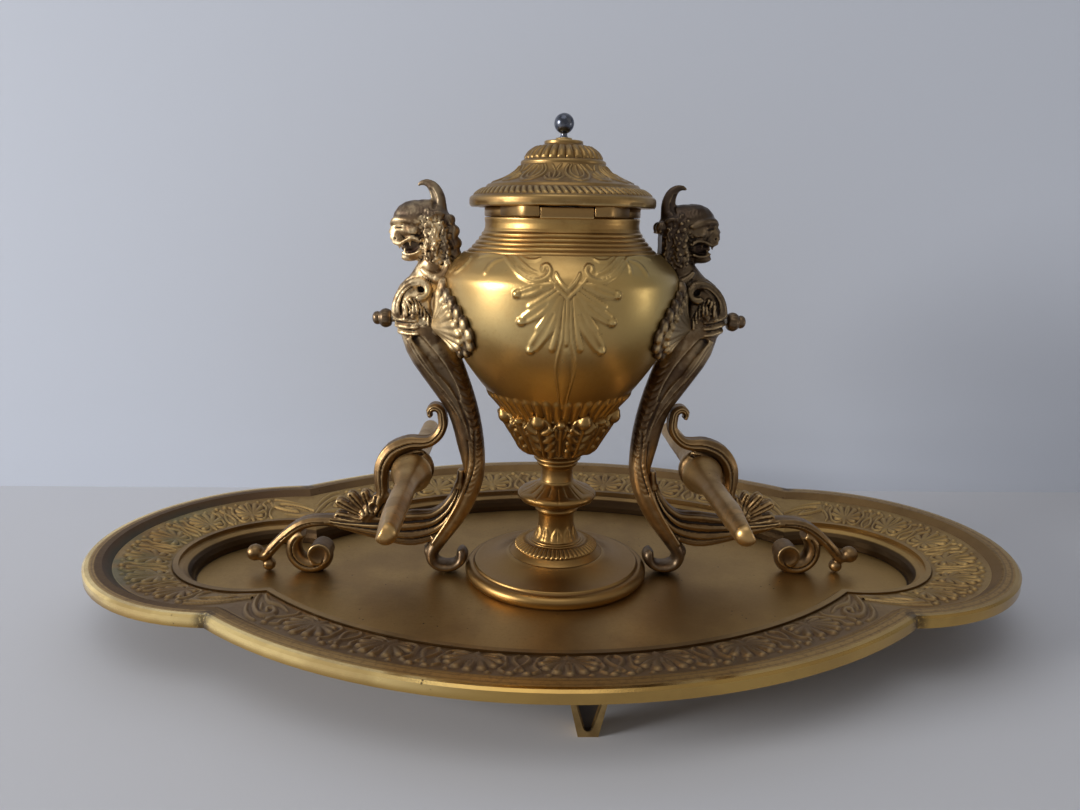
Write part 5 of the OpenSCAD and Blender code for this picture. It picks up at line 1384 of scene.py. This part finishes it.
def swept(bm, outline, first, last, steps):
    """An outline of radius and height spun about the urn's axis from first to last, ends closed."""
    turn = Matrix.Rotation(first, 3, "Z")
    verts = [bm.verts.new(turn @ Vector((r, 0, z))) for r, z in outline]
    edges = [bm.edges.new(pair) for pair in zip(verts, verts[1:] + verts[:1])]
    end = bmesh.ops.spin(bm, geom=verts + edges, axis=(0, 0, 1), cent=(0, 0, 0), steps=steps,
                         angle=last - first)["geom_last"]
    for loop in (edges, [e for e in end if isinstance(e, bmesh.types.BMEdge)]):
        bmesh.ops.edgeloop_fill(bm, edges=loop)


WING = ((WING_IN, -26.1), (11.4, -26), (12.8, -25.4), (14.4, -23.3), (16.4, -19.9),
        (19, -14.75), (18.3, -14.3), (15, -17.75), (12, -19.9), (WING_IN, -21.9))
gap = math.asin(WING_IN / NECK_R)
LIP_LOW, LIP_TOP = 127.6, 130.6
swept(lid_bm, [(NECK_R, LIP_LOW + 0.3), (NECK_R, LIP_TOP), (SKIRT_IN, LIP_TOP), (SKIRT_IN, LIP_LOW),
               (NECK_R - 0.3, LIP_LOW)], gap - math.pi / 2, 1.5 * math.pi - gap, 240)
for side in (-1, 1):
    slab(lid_bm, [(side * x, y) for x, y in WING], PIN_Z - 1.05, PIN_Z + 1.95)
bmesh.ops.recalc_face_normals(lid_bm, faces=lid_bm.faces)
lid = new_piece("chased_lid", lid_bm, lid_finish(), "lid", "gilt_lid", "lid")
chase(lid, lid_line, lid_ornament)
mark_wear(lid, 0.28, 10)

steel = Finish("blued steel of the ball")
cloud = steel.noise(2.2, 3)
steel.surface(Base_Color=steel.tint(cloud.rise(0.4, 0.65), (0.085, 0.095, 0.125), (0.16, 0.17, 0.2)),
              Metallic=1, Roughness=0.2 + cloud * 0.14,
              Normal=steel.bump(steel.noise(0.6, 2), 0.02))
BALL_R, BALL_Z, BALL_PIN = 3.02, 155.32, 0.95
ball_line = [(0, 145.4), (BALL_PIN, 145.4), (BALL_PIN, 150.9), (1.35, 151.12), (1.3, 151.4),
             (1, 151.7), (0.98, 152.2)]
ball_line += [(BALL_R * math.sin(a), BALL_Z - BALL_R * math.cos(a))
              for a in np.radians(range(20, 181, 5))]
new_piece("steel_ball", spun(closer(ball_line, 0.5), 64, bored=False), steel.material, "lid",
          "dark_steel", "finial")

# ---- Plain solids -----------------------------------------------------------------------------
# The feet are riveted brackets, and the rod, studs, nuts, washer, screws and hinge pin are plain
# turned steel. The liner is a glazed cup, stained by ink inside.

fittings = Finish("plain steel of the fittings")
scale = fittings.noise(1.6, 3)
fittings.surface(Base_Color=fittings.tint(scale.rise(0.42, 0.62), (0.3, 0.28, 0.25), (0.15, 0.125, 0.1)),
                 Metallic=1, Roughness=0.34 + scale * 0.2,
                 Normal=fittings.bump(fittings.noise(0.5, 2), 0.02))
for name in ("tie_rod", "tie_rod_washer", "tie_rod_nut", "bowl_nut", "stud_left", "stud_right",
             "stud_nuts", "griffin_screws", "tail_screws", "finial_nut", "hinge_pin"):
    paint(nodes[name], fittings.material)

FOOT_Z = 14.3
HOLLOW_LOW, HOLLOW_W, HOLLOW_SPREAD = FOOT_Z * 0.2, 1.35, 2.32 / (0.58 * FOOT_Z)
for name, wide in (("foot_front", 0), ("foot_back", 0), ("foot_left", 1), ("foot_right", 1)):
    low, high = (np.array(corner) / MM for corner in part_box(name))
    f = aged_metal("worn gilding of " + name, (0.44, 0.3, 0.125), (0.25, 0.155, 0.065), SOOT,
                   PALE_GOLD, rough=0.36, blotch=7, pits=0.6)
    across, out = (f.y, f.x) if wide else (f.x, f.y)
    face = max(abs(low[1 - wide]), abs(high[1 - wide]))
    hollow = HOLLOW_W + (f.z - HOLLOW_LOW) * HOLLOW_SPREAD
    # The hollow of each bracket is painted near black: painted shade, with dark patina
    hollow_shade_and_patina = ((hollow - (across - (low[wide] + high[wide]) / 2).size()).rise(-0.2, 0.4)
            * out.size().within(face - 1.8, face - 0.5, 0.3) * f.z.rise(0.9, 1.6))
    f.surface(Base_Color=f.tint(hollow_shade_and_patina * 0.95, f.parts["colour"], (0.012, 0.011, 0.014)),
              Metallic=1 - hollow_shade_and_patina * 0.8, Roughness=0.4 + hollow_shade_and_patina * 0.3)
    paint(nodes[name], f.material)
    edge = nodes[name].modifiers.new("worn_edge", "BEVEL")
    edge.width, edge.segments, edge.limit_method = 0.35 * MM, 3, "ANGLE"

glaze = Finish("ink-stained glaze of the liner")
middle = glaze.x.hypot(glaze.y)
splash = glaze.noise(9, 3)
ink = middle.rise(19.6, 18) * (glaze.z + splash * 14).rise(134, 122)
glaze.surface(Base_Color=glaze.tint(ink, glaze.tint(splash.rise(0.5, 0.7) * 0.3, (0.8, 0.79, 0.73),
                                                    (0.62, 0.58, 0.48)), (0.025, 0.028, 0.055)),
              Roughness=0.16 + splash * 0.12, Coat_Weight=0.4)
paint(nodes["ink_liner"], glaze.material)

# ---- Floor, light and camera ------------------------------------------------------------------
# A plain pale table and a wall close behind it, in soft daylight from a window on the left.


def stage_piece(name, size, colour, place, one_sided=False):
    """A square sheet of the stage; a one-sided one is clear from behind, for views from there."""
    f = Finish(name)
    f.surface(Base_Color=colour, Roughness=0.7)
    if one_sided:
        behind = f.node("NewGeometry", {}, {}, out="Backfacing")
        clear = f.node("BsdfTransparent", {}, {})
        both = f.node("MixShader", {}, [behind, Wire(f, f.shader.outputs[0]), clear])
        f.tree.links.new(both.socket, f.tree.nodes["Material Output"].inputs["Surface"])
    bm = bmesh.new()
    bmesh.ops.create_grid(bm, x_segments=1, y_segments=1, size=size, matrix=place)
    piece = placed(name, mesh_of(name, bm, 1))
    piece.data.materials.append(f.material)


WALL_Y = 0.1175
stage_piece("table", 2.5, (0.56, 0.575, 0.62), Matrix.Identity(4))
stage_piece("wall", 1.4, (0.56, 0.605, 0.7), Matrix.Translation((0, WALL_Y, 1.4)) @ Matrix.Rotation(
    math.pi / 2, 4, "X"), one_sided=True)

world = bpy.data.worlds.new("room")
bpy.context.scene.world = world
world.use_nodes = True
back = world.node_tree.nodes["Background"]
back.inputs["Color"].default_value = (0.41, 0.39, 0.37, 1)
back.inputs["Strength"].default_value = 0.9


def lamp(name, place, aim, size, power, colour=(1, 1, 1), spread=180):
    data = bpy.data.lights.new(name, "AREA")
    data.shape, data.size, data.energy, data.color = "DISK", size, power, colour
    data.spread = math.radians(spread)
    it = placed(name, data)
    it.location = place
    it.rotation_mode = "QUATERNION"
    it.rotation_quaternion = (Vector(aim) - Vector(place)).to_track_quat("-Z", "Y")


lamp("window", (-1.42, -0.52, 0.41), (0, 0, 0.08), 0.54, 3.25, (1, 0.98, 0.95), 70)
lamp("doorway", (0.8, -0.14, 0.06), (0, 0, 0.1), 0.05, 0.03, (1, 0.96, 0.9), 60)
lamp("ceiling", (-0.1, -0.35, 1.1), (0, 0, 0.05), 0.8, 1.6)

CAMERA_PLACE = Vector((-0.01374, -0.25776, 0.12528))
PITCH_DOWN, YAW, ROLL, LENS = 0.2187, 0.03, 0.0156, 27.03
ahead = Vector((math.sin(YAW) * math.cos(PITCH_DOWN), math.cos(YAW) * math.cos(PITCH_DOWN),
                -math.sin(PITCH_DOWN)))
level = Vector((math.cos(YAW), -math.sin(YAW), 0))
upright = level.cross(ahead)
right = math.cos(ROLL) * level + math.sin(ROLL) * upright
up = math.cos(ROLL) * upright - math.sin(ROLL) * level
camera = placed("camera", bpy.data.cameras.new("camera"))
camera.data.lens, camera.data.sensor_width = LENS, 36
camera.data.clip_start, camera.data.clip_end = 0.01, 20
camera.matrix_world = Matrix.Translation(CAMERA_PLACE) @ Matrix(
    (right, up, -ahead)).transposed().to_4x4()
bpy.context.scene.camera = camera
bpy.context.scene.view_settings.view_transform = "Standard"
